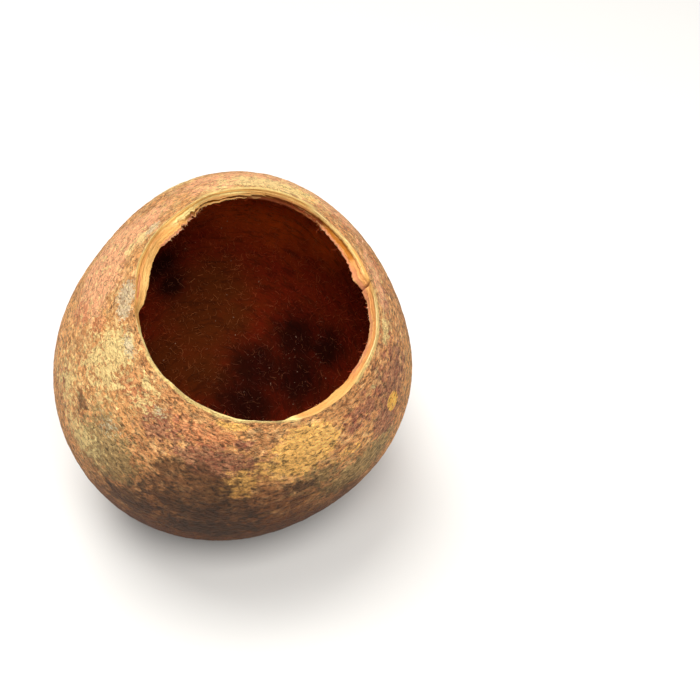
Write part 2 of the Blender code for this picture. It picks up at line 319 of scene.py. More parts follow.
# Where the lining is painted redder, tan and nearly black: the redder is painted light on the top
# of the far wall, the tan is partly the pulp's own and partly painted light where light falls on
# the back of the inside, and the nearly black is mostly painted shadow where the rim shades the
# inside, with one hidden place only for variety. Degrees polar, around and spread of each place
LINING_PLACES = {
    "red_painted_light": (
        (86, 92, 18), (90, 78, 15), (88, 60, 12), (86, 105, 12),
    ),
    "tan_and_painted_light": (
        (144, 104, 18), (131, 96, 15), (142, 84, 9), (163, 112, 14), (156, 144, 16),
    ),
    "black_and_painted_shadow": (
        (117, 121, 9), (127, 118, 7), (135, 44, 13), (126, 30, 10), (143, 26, 15),
        (155, 48, 14), (165, 20, 16), (150, 300, 24),
    ),
}

# The camera from the pod's centre, and how it looks, found from the photograph
CAMERA_FROM_CENTRE = Vector((24.08 * MM, -227.46 * MM, 195.95 * MM))
CAMERA_TILT = math.radians(50)
CAMERA_LENS_MM = 75.0


def linear(hex_colour):
    """An sRGB hex colour as linear red, green, blue and an alpha of 1."""
    parts = [int(hex_colour[i : i + 2], 16) / 255 for i in (1, 3, 5)]
    parts = [c / 12.92 if c <= 0.04045 else ((c + 0.055) / 1.055) ** 2.4 for c in parts]
    return (*parts, 1.0)


LENGTH = {"unit": "LENGTH", "precision": 6}
COLOUR = {"size": 4, "subtype": "COLOR"}


class PodSizes(bpy.types.PropertyGroup):
    """Sizes of the pod's fine surface."""

    wrinkle_height: FloatProperty(
        name="Wrinkle height",
        description="Depth of the hollows between the rind's wrinkles",
        default=0.16 * MM,
        **LENGTH,
    )
    wrinkle_spacing: FloatProperty(
        name="Wrinkle spacing",
        description="Distance from one wrinkle of the rind to the next",
        default=1.5 * MM,
        **LENGTH,
    )
    felt_height: FloatProperty(
        name="Felt height",
        description="Depth of the hollows in the scraped lining",
        default=0.35 * MM,
        **LENGTH,
    )
    felt_spacing: FloatProperty(
        name="Felt spacing",
        description="Distance from one tuft of the lining to the next",
        default=2.6 * MM,
        **LENGTH,
    )
    fibre_length: FloatProperty(
        name="Fibre length", description="Length of a fibre of the lining", default=2.1 * MM, **LENGTH
    )
    fibre_thickness: FloatProperty(
        name="Fibre thickness",
        description="Thickness of a fibre of the lining at its middle",
        default=0.10 * MM,
        **LENGTH,
    )
    fibres_per_cm2: FloatProperty(
        name="Fibres", description="Fibres of the lining on each square centimetre", default=66.0
    )
    crumbs_per_cm2: FloatProperty(
        name="Crumbs",
        description="Crumbs of dried pulp on each square centimetre of the lining",
        default=6.0,
    )
    seed: IntProperty(
        name="Seed", description="Start of the random draws that scatter fibres and crumbs", default=7
    )


class PodColours(bpy.types.PropertyGroup):
    """Colours of the pod."""

    rind: FloatVectorProperty(
        name="Rind", description="Main colour of the dried skin", default=linear("#CA8C52"), **COLOUR
    )
    rust: FloatVectorProperty(
        name="Rust", description="Redder stretches of the skin", default=linear("#A8623A"), **COLOUR
    )
    bark: FloatVectorProperty(
        name="Bark", description="Dark hollows between the wrinkles", default=linear("#5B351C"), **COLOUR
    )
    cut_wood: FloatVectorProperty(
        name="Cut wood", description="Fresh wood of the cut edge", default=linear("#D9A05A"), **COLOUR
    )
    lining: FloatVectorProperty(
        name="Lining", description="Dark felt inside the pod", default=linear("#761E09"), **COLOUR
    )
    fibre: FloatVectorProperty(
        name="Fibre",
        description="Fibres of the lining where light reaches them",
        default=linear("#C8804E"),
        **COLOUR,
    )
    crumb: FloatVectorProperty(
        name="Crumb", description="Darkest crumbs of dried pulp", default=linear("#5A3524"), **COLOUR
    )


def lean_matrix():
    """The turn that leans the upright pod towards LEAN_TOWARDS."""
    axis = Vector((-math.sin(LEAN_TOWARDS), math.cos(LEAN_TOWARDS), 0.0))
    return Matrix.Rotation(LEAN, 3, axis)


def direction(polar, around):
    """Unit vectors from the pod's centre."""
    side = np.sin(polar)
    return np.stack([side * np.cos(around), side * np.sin(around), np.cos(polar)], axis=-1)


def bell_round(ways, polar, around, spread):
    """1 at a place and falling off round it, with place and spread in degrees."""
    place = direction(np.radians(polar), np.radians(around))
    off = np.arccos(np.clip(ways @ place, -1.0, 1.0)) / math.radians(spread)
    return np.exp(-(off**2))


def ease(value, low, high):
    """0 below low, 1 above high and smooth between."""
    share = np.clip((value - low) / (high - low), 0.0, 1.0)
    return share * share * (3 - 2 * share)


def turn_from(around, middle):
    """How far around lies from middle, the short way."""
    return np.mod(around - middle + math.pi, WHOLE_TURN) - math.pi


def between_stretches(around, start, end, soft):
    """1 from start to end degrees around, easing to 0 over soft degrees outside them."""
    half = math.radians((end - start) / 2)
    off = np.abs(turn_from(around, math.radians((start + end) / 2)))
    return 1 - ease(off, half, half + math.radians(soft))


def smooth_lower(a, b, width):
    """The lower of a and b, with the corner between them eased over that difference."""
    near = np.maximum(width - np.abs(a - b), 0.0) / width
    return np.minimum(a, b) - near * near * width / 4


def from_table(rows, around, column):
    """One column of a table by degrees around, eased from each row to the next."""
    stops = [math.radians(row[0]) for row in rows] + [math.radians(rows[0][0]) + WHOLE_TURN]
    values = [row[column] for row in rows] + [rows[0][column]]
    turned = np.mod(around, WHOLE_TURN)
    after = np.clip(np.searchsorted(stops, turned, side="right"), 1, len(stops) - 1)
    start, end = np.take(stops, after - 1), np.take(stops, after)
    share = ease(turned, start, end)
    return np.take(values, after - 1) * (1 - share) + np.take(values, after) * share


def rough(points, per_mm, octaves=3, seed=0.0):
    """Fractal noise at points, about -1 to 1, with per_mm features to the millimetre."""
    offset = Vector((seed * 17.3, seed * 5.1, seed * 9.7))
    scale = per_mm / MM
    return np.array([noise.fractal(Vector(p) * scale + offset, 0.9, 2.1, octaves) for p in points])


def mouth_polar(around):
    """Polar angle of the mouth's outer edge."""
    edge = MOUTH_POLAR + MOUTH_OVAL * np.cos(2 * (around - MOUTH_OVAL_AROUND))
    for waves, height, phase in MOUTH_WAVES:
        edge = edge + math.radians(height) * np.sin(waves * around + phase)
    return edge + np.radians(from_table(RIM_WALL, around, 3))


def body_radius(polar, around):
    """Distance from the centre to the plain fruit, with its lobes and lumps."""
    share = np.ones(np.broadcast(polar, around).shape)
    for lobes, height, points in PLAN_LOBES:
        share = share + height * np.sin(polar) ** lobes * np.cos(lobes * (around - math.radians(points)))
    radius = BODY_RADIUS * share
    ways = direction(polar, around)
    for lump_polar, lump_around, height, spread in RIND_LUMPS:
        radius = radius + height * MM * bell_round(ways, lump_polar, lump_around, spread)
    return radius


def level(x, y):
    """Vectors that lie in the mouth's plane."""
    return np.stack([x, y, np.zeros(len(x))], axis=-1)


def scar_height(polar):
    """The stalk's scar: a dish, and a ring raised round it."""
    off = (math.pi - polar) / SCAR_SPREAD
    dish = -SCAR_DEPTH * np.exp(-(off**4))
    ring = SCAR_EDGE_HEIGHT * np.exp(-(((off - 1.35) / 0.35) ** 2))
    return dish + ring


def outer_radius(polar, around):
    """Distance from the centre to the rind, with its scar and the flat spot underneath."""
    down = np.array(lean_matrix().transposed() @ Vector((0.0, 0.0, -1.0)))
    towards_ground = np.maximum(direction(polar, around) @ down, math.cos(math.pi / 3))
    ground = (BODY_RADIUS - REST_DEPTH) / towards_ground
    return smooth_lower(body_radius(polar, around) + scar_height(polar), ground, REST_EASE)


def skin_points(polar, around):
    """Points of the rind, before its wrinkles."""
    return direction(polar, around) * outer_radius(polar, around)[..., None]


def wall(polar, around):
    """Thickness of the shell: the rim's near the mouth, easing to the base's."""
    eased = ease(polar, MOUTH_POLAR, math.pi / 2)
    lumps = sum(
        np.sin(up * polar + phase) * np.cos(turns * around - phase) for up, turns, phase in LINING_LUMPS
    )
    plain = from_table(RIM_WALL, around, 1) * MM * (1 - eased) + WALL_AT_BASE * eased
    return plain + LINING_LUMP_HEIGHT * lumps * np.sin(polar) * eased


def inner_radius(polar, around):
    """Distance from the centre to the inner face."""
    return body_radius(polar, around) - wall(polar, around)


def inner_edge_polar(around):
    """Polar angle of the cut's inner edge."""
    return mouth_polar(around) - np.radians(from_table(RIM_WALL, around, 2))


def around_columns(columns):
    """Angles around of the columns of one ring."""
    return np.arange(columns) * (WHOLE_TURN / columns)


def row_distances(length, last_row):
    """Distances of the rows from the cut: fine next to it, then even ones to the pole."""
    rows, here, step = [], 0.0, FIRST_ROW
    while here + step * 1.5 < length:
        here += step
        rows.append(here)
        step = min(step * ROW_GROWTH, last_row)
    return rows


def columns_below(distance, most, polar):
    """Columns of a ring, halved away from the rim and again as the pole draws them in."""
    columns = most
    if distance < RIM_ZONE:
        columns = RIM_COLUMNS
    elif distance < 3 * RIM_ZONE:
        columns = RIND_COLUMNS
    ring_length = WHOLE_TURN * BODY_RADIUS * math.sin(polar)
    while columns > POLE_COLUMNS and polar > math.pi / 2:
        if ring_length / columns > NARROWEST_SHARE * WHOLE_TURN * BODY_RADIUS / most:
            break
        columns //= 2
    return columns


RIND_ZONE, CUT_ZONE, LINING_ZONE = 0, 1, 2


class Surface:
    """A mesh in the making: rings of points, the faces between them and where each lies."""

    def __init__(self):
        self.count = 0
        self.points, self.polar, self.around, self.across, self.zone = [], [], [], [], []
        self.faces, self.face_zones = [], []

    def add_ring(self, points, polar, around, across, zone):
        """Adds one ring and returns its vertex numbers."""
        first, self.count = self.count, self.count + len(points)
        self.points.append(points)
        self.polar.append(np.broadcast_to(polar, len(points)))
        self.around.append(around)
        self.across.append(np.full(len(points), across))
        self.zone.append(np.full(len(points), zone))
        return list(range(first, self.count))

    def add_faces(self, made, zone):
        """Adds faces made from the mouth downwards, turned round on the rind to face out."""
        if zone == RIND_ZONE:
            made = [corners[::-1] for corners in made]
        self.faces.extend(made)
        self.face_zones.extend([zone] * len(made))

    def join(self, wide, narrow, zone):
        """Adds the faces between two rings, where the second has as many columns or half."""
        count = len(narrow)
        for i in range(count):
            j = (i + 1) % count
            if len(wide) == count:
                made = [(wide[i], wide[j], narrow[j], narrow[i])]
            else:
                left, middle, right = wide[2 * i], wide[2 * i + 1], wide[(2 * i + 2) % len(wide)]
                made = [
                    (left, middle, narrow[i]), (middle, narrow[j], narrow[i]), (middle, right, narrow[j])
                ]
            self.add_faces(made, zone)

    def close(self, ring, depth, zone):
        """Closes a ring with one point on the pod's axis."""
        pole = self.add_ring(np.array([(0.0, 0.0, -depth)]), math.pi, np.zeros(1), 1.0, zone)[0]
        made = [(corner, ring[(i + 1) % len(ring)], pole) for i, corner in enumerate(ring)]
        self.add_faces(made, zone)

    def whole(self, name):
        """All rings' values of one kind, as one array."""
        return np.concatenate(getattr(self, name))


def lip_ring():
    """The rind's edge at the mouth, with the small nicks of the blade."""
    around = around_columns(RIM_COLUMNS)
    polar = mouth_polar(around)
    nicks = rough(skin_points(polar, around), 0.35, 4, 3.0) * NICK_DEPTH
    polar = polar + nicks / BODY_RADIUS
    return skin_points(polar, around), polar, around


def torn_edge(around):
    """How far the torn inner edge reaches inwards, in metres."""
    path = level(np.cos(around), np.sin(around)) * INNER_EDGE_RADIUS
    coarse = rough(path, 0.45, 2, 1.0)
    fine = rough(path, 1.8, 3, 2.0)
    return from_table(RIM_RELIEF, around, 6) * MM * (0.55 * coarse + 0.75 * fine)


def inner_point(polar, around, distance):
    """Points of the inner face, torn next to the cut."""
    ways = direction(polar, around)
    points = ways * inner_radius(polar, around)[:, None]
    reach = torn_edge(around) * max(0.0, 1 - distance / TORN_ZONE)
    return points + level(-np.cos(around), -np.sin(around)) * reach[:, None]


def crack_at(around, share):
    """0 to 1: how far into the rim's crack a point of the cut is."""
    middle = CRACK_AT_SKIN * (1 - share) + CRACK_AT_INSIDE * share
    middle += math.radians(0.25) * math.sin(9 * share + 0.6)
    off = turn_from(around, middle) * RIM_RADIUS / CRACK_HALF_WIDTH
    return np.exp(-(off**2))


def cut_sunk(around, share):
    """How far the cut lies below the straight line from lip to inner edge, in metres."""
    place, half, depth, drop, layer = (from_table(RIM_RELIEF, around, column) for column in range(1, 6))
    crease = depth * np.exp(-(((share - place) / half) ** 2))
    inside = drop * ease(share, place, place + half) * (1 - share**6)
    wander = 0.35 * np.sin(3 * around + 1.0) + 0.2 * np.sin(7 * around)
    layers = layer * np.sin(WHOLE_TURN * (4.2 * share + wander)) * (1 - share**8)
    lip = -0.07 * np.sin(math.pi * np.minimum(share / 0.16, 1.0))
    return (crease + inside + layers + lip) * MM


def add_cut(surface, lip, polar, around):
    """The rows across the cut, and its inner edge."""
    skin = surface.points[0]
    edge_polar = inner_edge_polar(around)
    edge = inner_point(edge_polar, around, 0.0)
    across = edge - skin
    into = np.cross(across, level(-np.sin(around), np.cos(around)))
    into /= np.linalg.norm(into, axis=1, keepdims=True)
    into *= -np.sign(into[:, 2:])
    last = lip
    for share in CUT_SHARES:
        sunk = cut_sunk(around, share) + CRACK_DEPTH * crack_at(around, share)
        points = skin + across * share + into * sunk[:, None]
        points = points + into * (rough(points, 0.9, 2, 4.0) * CUT_ROUGHNESS)[:, None]
        ring = surface.add_ring(points, polar, around, share, CUT_ZONE)
        surface.join(last, ring, CUT_ZONE)
        last = ring
    crack = CRACK_DEPTH * 0.8 * crack_at(around, 1.0)
    points = edge + into * crack[:, None]
    ring = surface.add_ring(points, edge_polar, around, 1.0, CUT_ZONE)
    surface.join(last, ring, CUT_ZONE)
    return ring


def add_face(surface, first_ring, length, last_row, zone):
    """The rind or the lining, from its edge at the mouth down to its pole."""
    most = RIND_COLUMNS if zone == RIND_ZONE else LINING_COLUMNS
    last = first_ring
    for distance in row_distances(length, last_row):
        share = distance / length
        columns = columns_below(distance, most, MOUTH_POLAR * (1 - share) + math.pi * share)
        around = around_columns(columns)
        if zone == RIND_ZONE:
            polar = mouth_polar(around) * (1 - share) + math.pi * share
            ring = surface.add_ring(skin_points(polar, around), polar, around, 0.0, zone)
        else:
            polar = inner_edge_polar(around) * (1 - share) + math.pi * share
            ring = surface.add_ring(inner_point(polar, around, distance), polar, around, 1.0, zone)
        surface.join(last, ring, zone)
        last = ring
    radius = outer_radius if zone == RIND_ZONE else inner_radius
    surface.close(last, radius(np.array([math.pi]), np.zeros(1))[0], zone)


def shell_surface():
    """The whole pod as one closed surface, before its fine relief."""
    surface = Surface()
    points, polar, around = lip_ring()
    lip = surface.add_ring(points, polar, around, 0.0, RIND_ZONE)
    length = BODY_RADIUS * (math.pi - MOUTH_POLAR)
    add_face(surface, lip, length, RIND_ROW, RIND_ZONE)
    edge = add_cut(surface, lip, polar, around)
    inner_length = (BODY_RADIUS - WALL_AT_BASE) * (math.pi - MOUTH_POLAR)
    add_face(surface, edge, inner_length, LINING_ROW, LINING_ZONE)
    return surface


def seat():
    """The pod's centre and size factor that set it exactly where the solid shell stands."""
    polar = np.linspace(MOUTH_POLAR - 0.02, math.pi, 260)[:, None]
    around = around_columns(360)[None, :]
    polar = np.maximum(polar, mouth_polar(around))
    around = np.broadcast_to(around, polar.shape)
    points = skin_points(polar, around).reshape(-1, 3) @ np.array(lean_matrix()).T
    low, high = points.min(axis=0), points.max(axis=0)
    solid_low, solid_high = np.array(SHELL_LOW), np.array(SHELL_HIGH)
    size = float(np.min((solid_high - solid_low) / (high - low)))
    centre = (solid_low + solid_high) / 2 - size * (low + high) / 2
    centre[2] = solid_low[2] - size * low[2]
    return Vector(centre), size


CENTRE, SIZE = seat()


def placed(points):
    """Points of the upright pod, leaned and set in place."""
    turned = np.asarray(points) @ np.array(lean_matrix()).T
    return turned * SIZE + np.array(CENTRE)


def patch_strengths(polar, around):
    """How strongly each kind of coloured patch shows at each point."""
    marks = {kind: np.zeros(len(polar)) for kind in RIND_PATCHES}
    for kind, patches in RIND_PATCHES.items():
        for patch_polar, patch_around, wide, tall, strength in patches:
            middle = math.radians(patch_polar)
            sideways = turn_from(around, math.radians(patch_around)) * math.sin(middle)
            off = np.hypot(sideways * BODY_RADIUS_MM / wide, (polar - middle) * BODY_RADIUS_MM / tall)
            here = strength * np.clip(1.5 - off, 0.0, 1.5) / 1.5
            marks[kind] = np.maximum(marks[kind], here)
    return marks


def add_marks(mesh, marks):
    """Stores numbers for each vertex, by name."""
    for name, values in marks.items():
        kind = "FLOAT_VECTOR" if values.ndim == 2 else "FLOAT"
        field = "vector" if values.ndim == 2 else "value"
        attribute = mesh.attributes.new(name, kind, "POINT")
        attribute.data.foreach_set(field, values.astype(np.float32).ravel())


def cut_marks(around, across, on_cut):
    """What the cut edge's colours follow: its tints, its crease, where shade is painted, and its crack."""
    marks = {name: np.zeros(len(around)) for name in CUT_MARKS}
    for kind, start, end, soft, first, last, strength in RIM_TINTS:
        here = between_stretches(around, start, end, soft)
        here = here * ease(across, first - 0.07, first + 0.07)
        here = here * (1 - ease(across, last - 0.07, last + 0.07))
        marks[kind] = np.maximum(marks[kind], strength * here)
    place, half, depth = (from_table(RIM_RELIEF, around, column) for column in (1, 2, 3))
    marks["crease"] = np.clip(depth, 0.0, 1.0) * np.exp(-(((across - place) / half) ** 2))
    middle = CRACK_AT_SKIN * (1 - across) + CRACK_AT_INSIDE * across
    marks["crack"] = np.exp(-((turn_from(around, middle) * RIM_RADIUS / CRACK_HALF_WIDTH) ** 2))
    return {"cut_" + name: values * on_cut for name, values in marks.items()}


def lining_marks(polar, around):
    """How red, how tan and how black the lining is at each point."""
    ways = direction(polar, around)
    marks = {}
    for name, places in LINING_PLACES.items():
        marks[name] = np.zeros(len(polar))
        for place_polar, place_around, spread in places:
            here = bell_round(ways, place_polar, place_around, spread)
            marks[name] = np.maximum(marks[name], here)
    return marks


# Stretches of the rim where torn fibres stand: degrees from and to, and how thickly
TORN_FIBRES = (
    (119, 149, 1.0),
    (30, 62, 0.7),
    (104, 114, 0.35),
    (8.5, 12.5, 1.2),
    (342, 352, 0.35),
    (306, 308, 1.0),
    (352, 366, 0.3),
)


def growth_marks(polar, around, across, from_lip, zone):
    """How thickly fibres grow on the lining and the torn rim, and crumbs lie."""
    torn = np.zeros(len(around))
    for start, end, amount in TORN_FIBRES:
        torn = np.maximum(torn, amount * between_stretches(around, start, end, 1.0))
    in_lining = zone == LINING_ZONE
    crumbs = 0.4 + 1.8 * between_stretches(around, 20, 42, 14) * ease(polar, 1.9, 2.3)
    return {
        "felt_grows": in_lining * ease(from_lip, 0.4 * MM, 2.5 * MM),
        "crumb_grows": in_lining * ease(from_lip, 2.0 * MM, 9.0 * MM) * crumbs,
        "rim_grows": (zone == CUT_ZONE) * torn * ease(across, 0.86, 0.97),
    }


def surface_mesh(surface, name):
    """A Blender mesh of a surface, with what its relief and materials read."""
    points, polar, around = surface.whole("points"), surface.whole("polar"), surface.whole("around")
    across, zone = surface.whole("across"), surface.whole("zone")
    world = placed(points)
    mesh = bpy.data.meshes.new(name)
    mesh.from_pydata(world.tolist(), [], surface.faces)
    mesh.polygons.foreach_set("material_index", surface.face_zones)
    on_cut, from_lip = zone == CUT_ZONE, (polar - mouth_polar(around)) * BODY_RADIUS
    down = np.where(on_cut, across * from_table(RIM_WALL, around, 1) * MM, polar * BODY_RADIUS)
    lip_skin = np.zeros(len(around))
    for start, end, soft, width, strength in LIP_SKIN:
        here = strength * (1 - ease(from_lip, 0.4 * width * MM, 1.4 * width * MM))
        lip_skin = np.maximum(lip_skin, here * between_stretches(around, start, end, soft))
    flow = np.stack([points[:, 0], points[:, 1], down], axis=-1) / MM
    foot = ease(world[:, 2], 0.02 * MM, 0.5 * MM)
    # How nearly each point faces the way of the painted shade underneath
    faces = world - np.array(CENTRE)
    faces = faces @ np.array(PAINTED_SHADE_WAY) / np.linalg.norm(faces, axis=1)
    marks = {
        "flow": flow,
        "across": across,
        "painted_shade_side": np.interp(faces, PAINTED_SHADE_EDGE, (0.0, 1.0)),
        "lip_skin": lip_skin * (zone == RIND_ZONE),
        "rind_amount": (zone == RIND_ZONE) * foot * ease(from_lip, 0.0, 0.9 * MM),
        "lining_amount": (zone == LINING_ZONE) * ease(from_lip, 0.0, 2.5 * MM),
        **cut_marks(around, across, on_cut),
        **lining_marks(polar, around),
        **growth_marks(polar, around, across, from_lip, zone),
        **patch_strengths(polar, around),
    }
    add_marks(mesh, marks)
    mesh.update()
    return mesh


def add_node(tree, kind, inputs=None, **settings):
    """Adds a node with its settings; an input is a value, or a node or socket to link from."""
    node = tree.nodes.new(kind)
    for name, value in settings.items():
        setattr(node, name, value)
    for key, value in (inputs or {}).items():
        if isinstance(key, int):
            socket = node.inputs[key]
        else:
            socket = next(s for s in node.inputs if s.enabled and s.name == key)
        if isinstance(value, bpy.types.Node):
            value = next(s for s in value.outputs if s.enabled)
        if isinstance(value, bpy.types.NodeSocket):
            tree.links.new(value, socket)
        else:
            socket.default_value = value
    return node


def new_tree(name, wanted):
    """A Geometry Nodes tree with these named inputs: the tree, its inputs and its end."""
    tree = bpy.data.node_groups.new(name, "GeometryNodeTree")
    tree.interface.new_socket("Geometry", in_out="OUTPUT", socket_type="NodeSocketGeometry")
    for label, kind in {"Geometry": "Geometry", **wanted}.items():
        tree.interface.new_socket(label, in_out="INPUT", socket_type="NodeSocket" + kind)
    start = tree.nodes.new("NodeGroupInput")
    return tree, start.outputs, tree.nodes.new("NodeGroupOutput")


def relief_tree():
    """Sinks the rind between its wrinkles, and the lining between its tufts."""
    tree, given, end = new_tree(
        "pod_relief",
        {
            "Wrinkle Height": "Float",
            "Wrinkle Spacing": "Float",
            "Felt Height": "Float",
            "Felt Spacing": "Float",
        },
    )
    flow = add_node(tree, "GeometryNodeInputNamedAttribute", {"Name": "flow"}, data_type="FLOAT_VECTOR")
    depths = []
    for part, stretch, amount in (
        ("Wrinkle", (0.7, 0.7, 1.0), "rind_amount"), ("Felt", (1.0, 1.0, 1.0), "lining_amount")
    ):
        # The rind's wrinkles run round the mouth, so their pattern is drawn out that way.
        drawn = add_node(tree, "ShaderNodeVectorMath", {0: flow, 1: stretch}, operation="MULTIPLY")
        scale = add_node(tree, "ShaderNodeMath", {0: MM, 1: given[part + " Spacing"]}, operation="DIVIDE")
        pattern = add_node(
            tree,
            "ShaderNodeTexNoise",
            {"Vector": drawn, "Scale": scale, "Detail": 3.0, "Roughness": 0.6, "Distortion": 0.4},
        )
        depth = add_node(tree, "ShaderNodeMapRange", {"Value": pattern, "From Min": 0.68, "From Max": 0.32})
        where = add_node(tree, "GeometryNodeInputNamedAttribute", {"Name": amount})
        for factor in (given[part + " Height"], where):
            depth = add_node(tree, "ShaderNodeMath", {0: depth, 1: factor}, operation="MULTIPLY")
        depths.append(depth)
    depth = add_node(tree, "ShaderNodeMath", {0: depths[0], 1: depths[1]}, operation="ADD")
    inwards = add_node(tree, "ShaderNodeMath", {0: depth, 1: -1.0}, operation="MULTIPLY")
    normal = add_node(tree, "GeometryNodeInputNormal")
    offset = add_node(tree, "ShaderNodeVectorMath", {"Vector": normal, "Scale": inwards}, operation="SCALE")
    moved = add_node(tree, "GeometryNodeSetPosition", {"Geometry": given["Geometry"], "Offset": offset})
    smooth = add_node(tree, "GeometryNodeSetShadeSmooth", {"Geometry": moved})
    tree.links.new(smooth.outputs["Geometry"], end.inputs["Geometry"])
    return tree


# Fibre shapes: degrees that each bends through, degrees it rises at its root, and how
# far its root is sunk, as a share of its length
FIBRE_SHAPES = ((-75, 34, 0.06), (-150, 62, 0.08), (110, 10, 0.05))


def fibre_shape(tree, given, bend, rise, sunk):
    """One fibre from its root at the origin: a tapered three-sided arc, as an instance."""
    start = math.radians(rise) - math.copysign(math.pi / 2, bend)
    sweep = math.radians(bend)
    radius = add_node(tree, "ShaderNodeMath", {0: given["Fibre Length"], 1: abs(sweep)}, operation="DIVIDE")
    arc = add_node(
        tree,
        "GeometryNodeCurveArc",
        {"Resolution": 4, "Radius": radius, "Start Angle": start, "Sweep Angle": sweep},
    )
    root = (-math.cos(start) / abs(sweep), 0.0, -math.sin(start) / abs(sweep) - sunk)
    back = add_node(
        tree, "ShaderNodeVectorMath", {"Vector": root, "Scale": given["Fibre Length"]}, operation="SCALE"
    )
    stood = add_node(
        tree,
        "GeometryNodeTransform",
        {"Geometry": arc, "Translation": back, "Rotation": (math.pi / 2, 0.0, 0.0)},
    )
    along = add_node(tree, "GeometryNodeSplineParameter")
    end_distance = add_node(tree, "ShaderNodeMath", {0: along, 1: 0.5}, operation="PINGPONG")
    taper = add_node(tree, "ShaderNodeMapRange", {"Value": end_distance, "From Max": 0.35, "To Min": 0.35})
    thickness = add_node(
        tree, "ShaderNodeMath", {0: taper, 1: given["Fibre Thickness"]}, operation="MULTIPLY"
    )
    profile = add_node(tree, "GeometryNodeCurvePrimitiveCircle", {"Resolution": 3, "Radius": 0.5})
    fibre = add_node(
        tree,
        "GeometryNodeCurveToMesh",
        {"Curve": stood, "Profile Curve": profile, "Scale": thickness, "Fill Caps": True},
    )
    return add_node(tree, "GeometryNodeGeometryToInstance", {"Geometry": fibre})


def scatter(tree, given, shapes, roots, least, most):
    """Sets shapes on the roots at random turns, leans and sizes, each with its own tone."""
    lean = add_node(tree, "ShaderNodeCombineXYZ", {"X": given["Lean"], "Y": given["Lean"], "Z": math.pi})
    other_way = add_node(tree, "ShaderNodeVectorMath", {"Vector": lean, "Scale": -1.0}, operation="SCALE")
    turn = add_node(
        tree,
        "FunctionNodeRandomValue",
        {"Min": other_way, "Max": lean, "Seed": given["Seed"]},
        data_type="FLOAT_VECTOR",
    )
    turn = add_node(tree, "FunctionNodeEulerToRotation", {"Euler": turn})
    rotation = add_node(
        tree,
        "FunctionNodeRotateRotation",
        {"Rotation": roots.outputs["Rotation"], "Rotate By": turn},
        rotation_space="LOCAL",
    )
    draws = {}
    for offset, (name, low, high) in enumerate(
        (("size", least, most), ("shape", 0.0, len(shapes) - 0.01), ("tone", 0.0, 1.0)), 1
    ):
        seed = add_node(tree, "ShaderNodeMath", {0: given["Seed"], 1: offset}, operation="ADD")
        draws[name] = add_node(tree, "FunctionNodeRandomValue", {"Min": low, "Max": high, "Seed": seed})
    joined = tree.nodes.new("GeometryNodeJoinGeometry")
    for shape in shapes:
        tree.links.new(shape.outputs[0], joined.inputs[0])
    choice = add_node(tree, "ShaderNodeMath", {0: draws["shape"]}, operation="FLOOR")
    scattered = add_node(
        tree,
        "GeometryNodeInstanceOnPoints",
        {
            "Points": roots.outputs["Points"],
            "Instance": joined,
            "Pick Instance": True,
            "Instance Index": choice,
            "Rotation": rotation,
            "Scale": draws["size"],
        },
    )
    return add_node(
        tree,
        "GeometryNodeStoreNamedAttribute",
        {"Geometry": scattered, "Name": "tone", "Value": draws["tone"]},
        domain="INSTANCE",
    )


def finish_tree(tree, given, end, geometry, smooth=True):
    """Ends a tree with real, shaded geometry in the given material."""
    real = add_node(tree, "GeometryNodeRealizeInstances", {"Geometry": geometry})
    shaded = add_node(tree, "GeometryNodeSetShadeSmooth", {"Geometry": real, "Shade Smooth": smooth})
    painted = add_node(tree, "GeometryNodeSetMaterial", {"Geometry": shaded, "Material": given["Material"]})
    tree.links.new(painted.outputs[0], end.inputs[0])


def scattered_roots(tree, given, spread):
    """Random points on the given faces, as close as the faces' grows value and spread say."""
    grows = add_node(tree, "GeometryNodeInputNamedAttribute", {"Name": "grows"})
    density = add_node(tree, "ShaderNodeMath", {0: given[spread], 1: grows}, operation="MULTIPLY")
    return add_node(
        tree,
        "GeometryNodeDistributePointsOnFaces",
        {"Mesh": given["Geometry"], "Density": density, "Seed": given["Seed"]},
    )


def fibre_tree():
    """Grows short curved fibres from a surface."""
    tree, given, end = new_tree(
        "pod_fibres",
        {
            "Fibre Length": "Float",
            "Fibre Thickness": "Float",
            "Fibres": "Float",
            "Lean": "Float",
            "Seed": "Int",
            "Material": "Material",
        },
    )
    shapes = [fibre_shape(tree, given, *shape) for shape in FIBRE_SHAPES]
    roots = scattered_roots(tree, given, "Fibres")
    finish_tree(tree, given, end, scatter(tree, given, shapes, roots, 0.55, 1.25))
    return tree


def crumb_tree():
    """Scatters small angular crumbs over a surface, each partly sunk in it."""
    tree, given, end = new_tree(
        "pod_crumbs",
        {"Crumb Size": "Float", "Crumbs": "Float", "Lean": "Float", "Seed": "Int", "Material": "Material"},
    )
    shapes = []
    for stretch in ((1.0, 0.7, 0.5), (1.5, 0.5, 0.4), (0.8, 0.8, 0.7)):
        radius = add_node(tree, "ShaderNodeMath", {0: given["Crumb Size"], 1: 0.5}, operation="MULTIPLY")
        ball = add_node(tree, "GeometryNodeMeshIcoSphere", {"Radius": radius, "Subdivisions": 1})
        crumb = add_node(tree, "GeometryNodeTransform", {"Geometry": ball, "Scale": stretch})
        shapes.append(add_node(tree, "GeometryNodeGeometryToInstance", {"Geometry": crumb}))
    roots = scattered_roots(tree, given, "Crumbs")
    finish_tree(tree, given, end, scatter(tree, given, shapes, roots, 0.5, 1.4), smooth=False)
    return tree


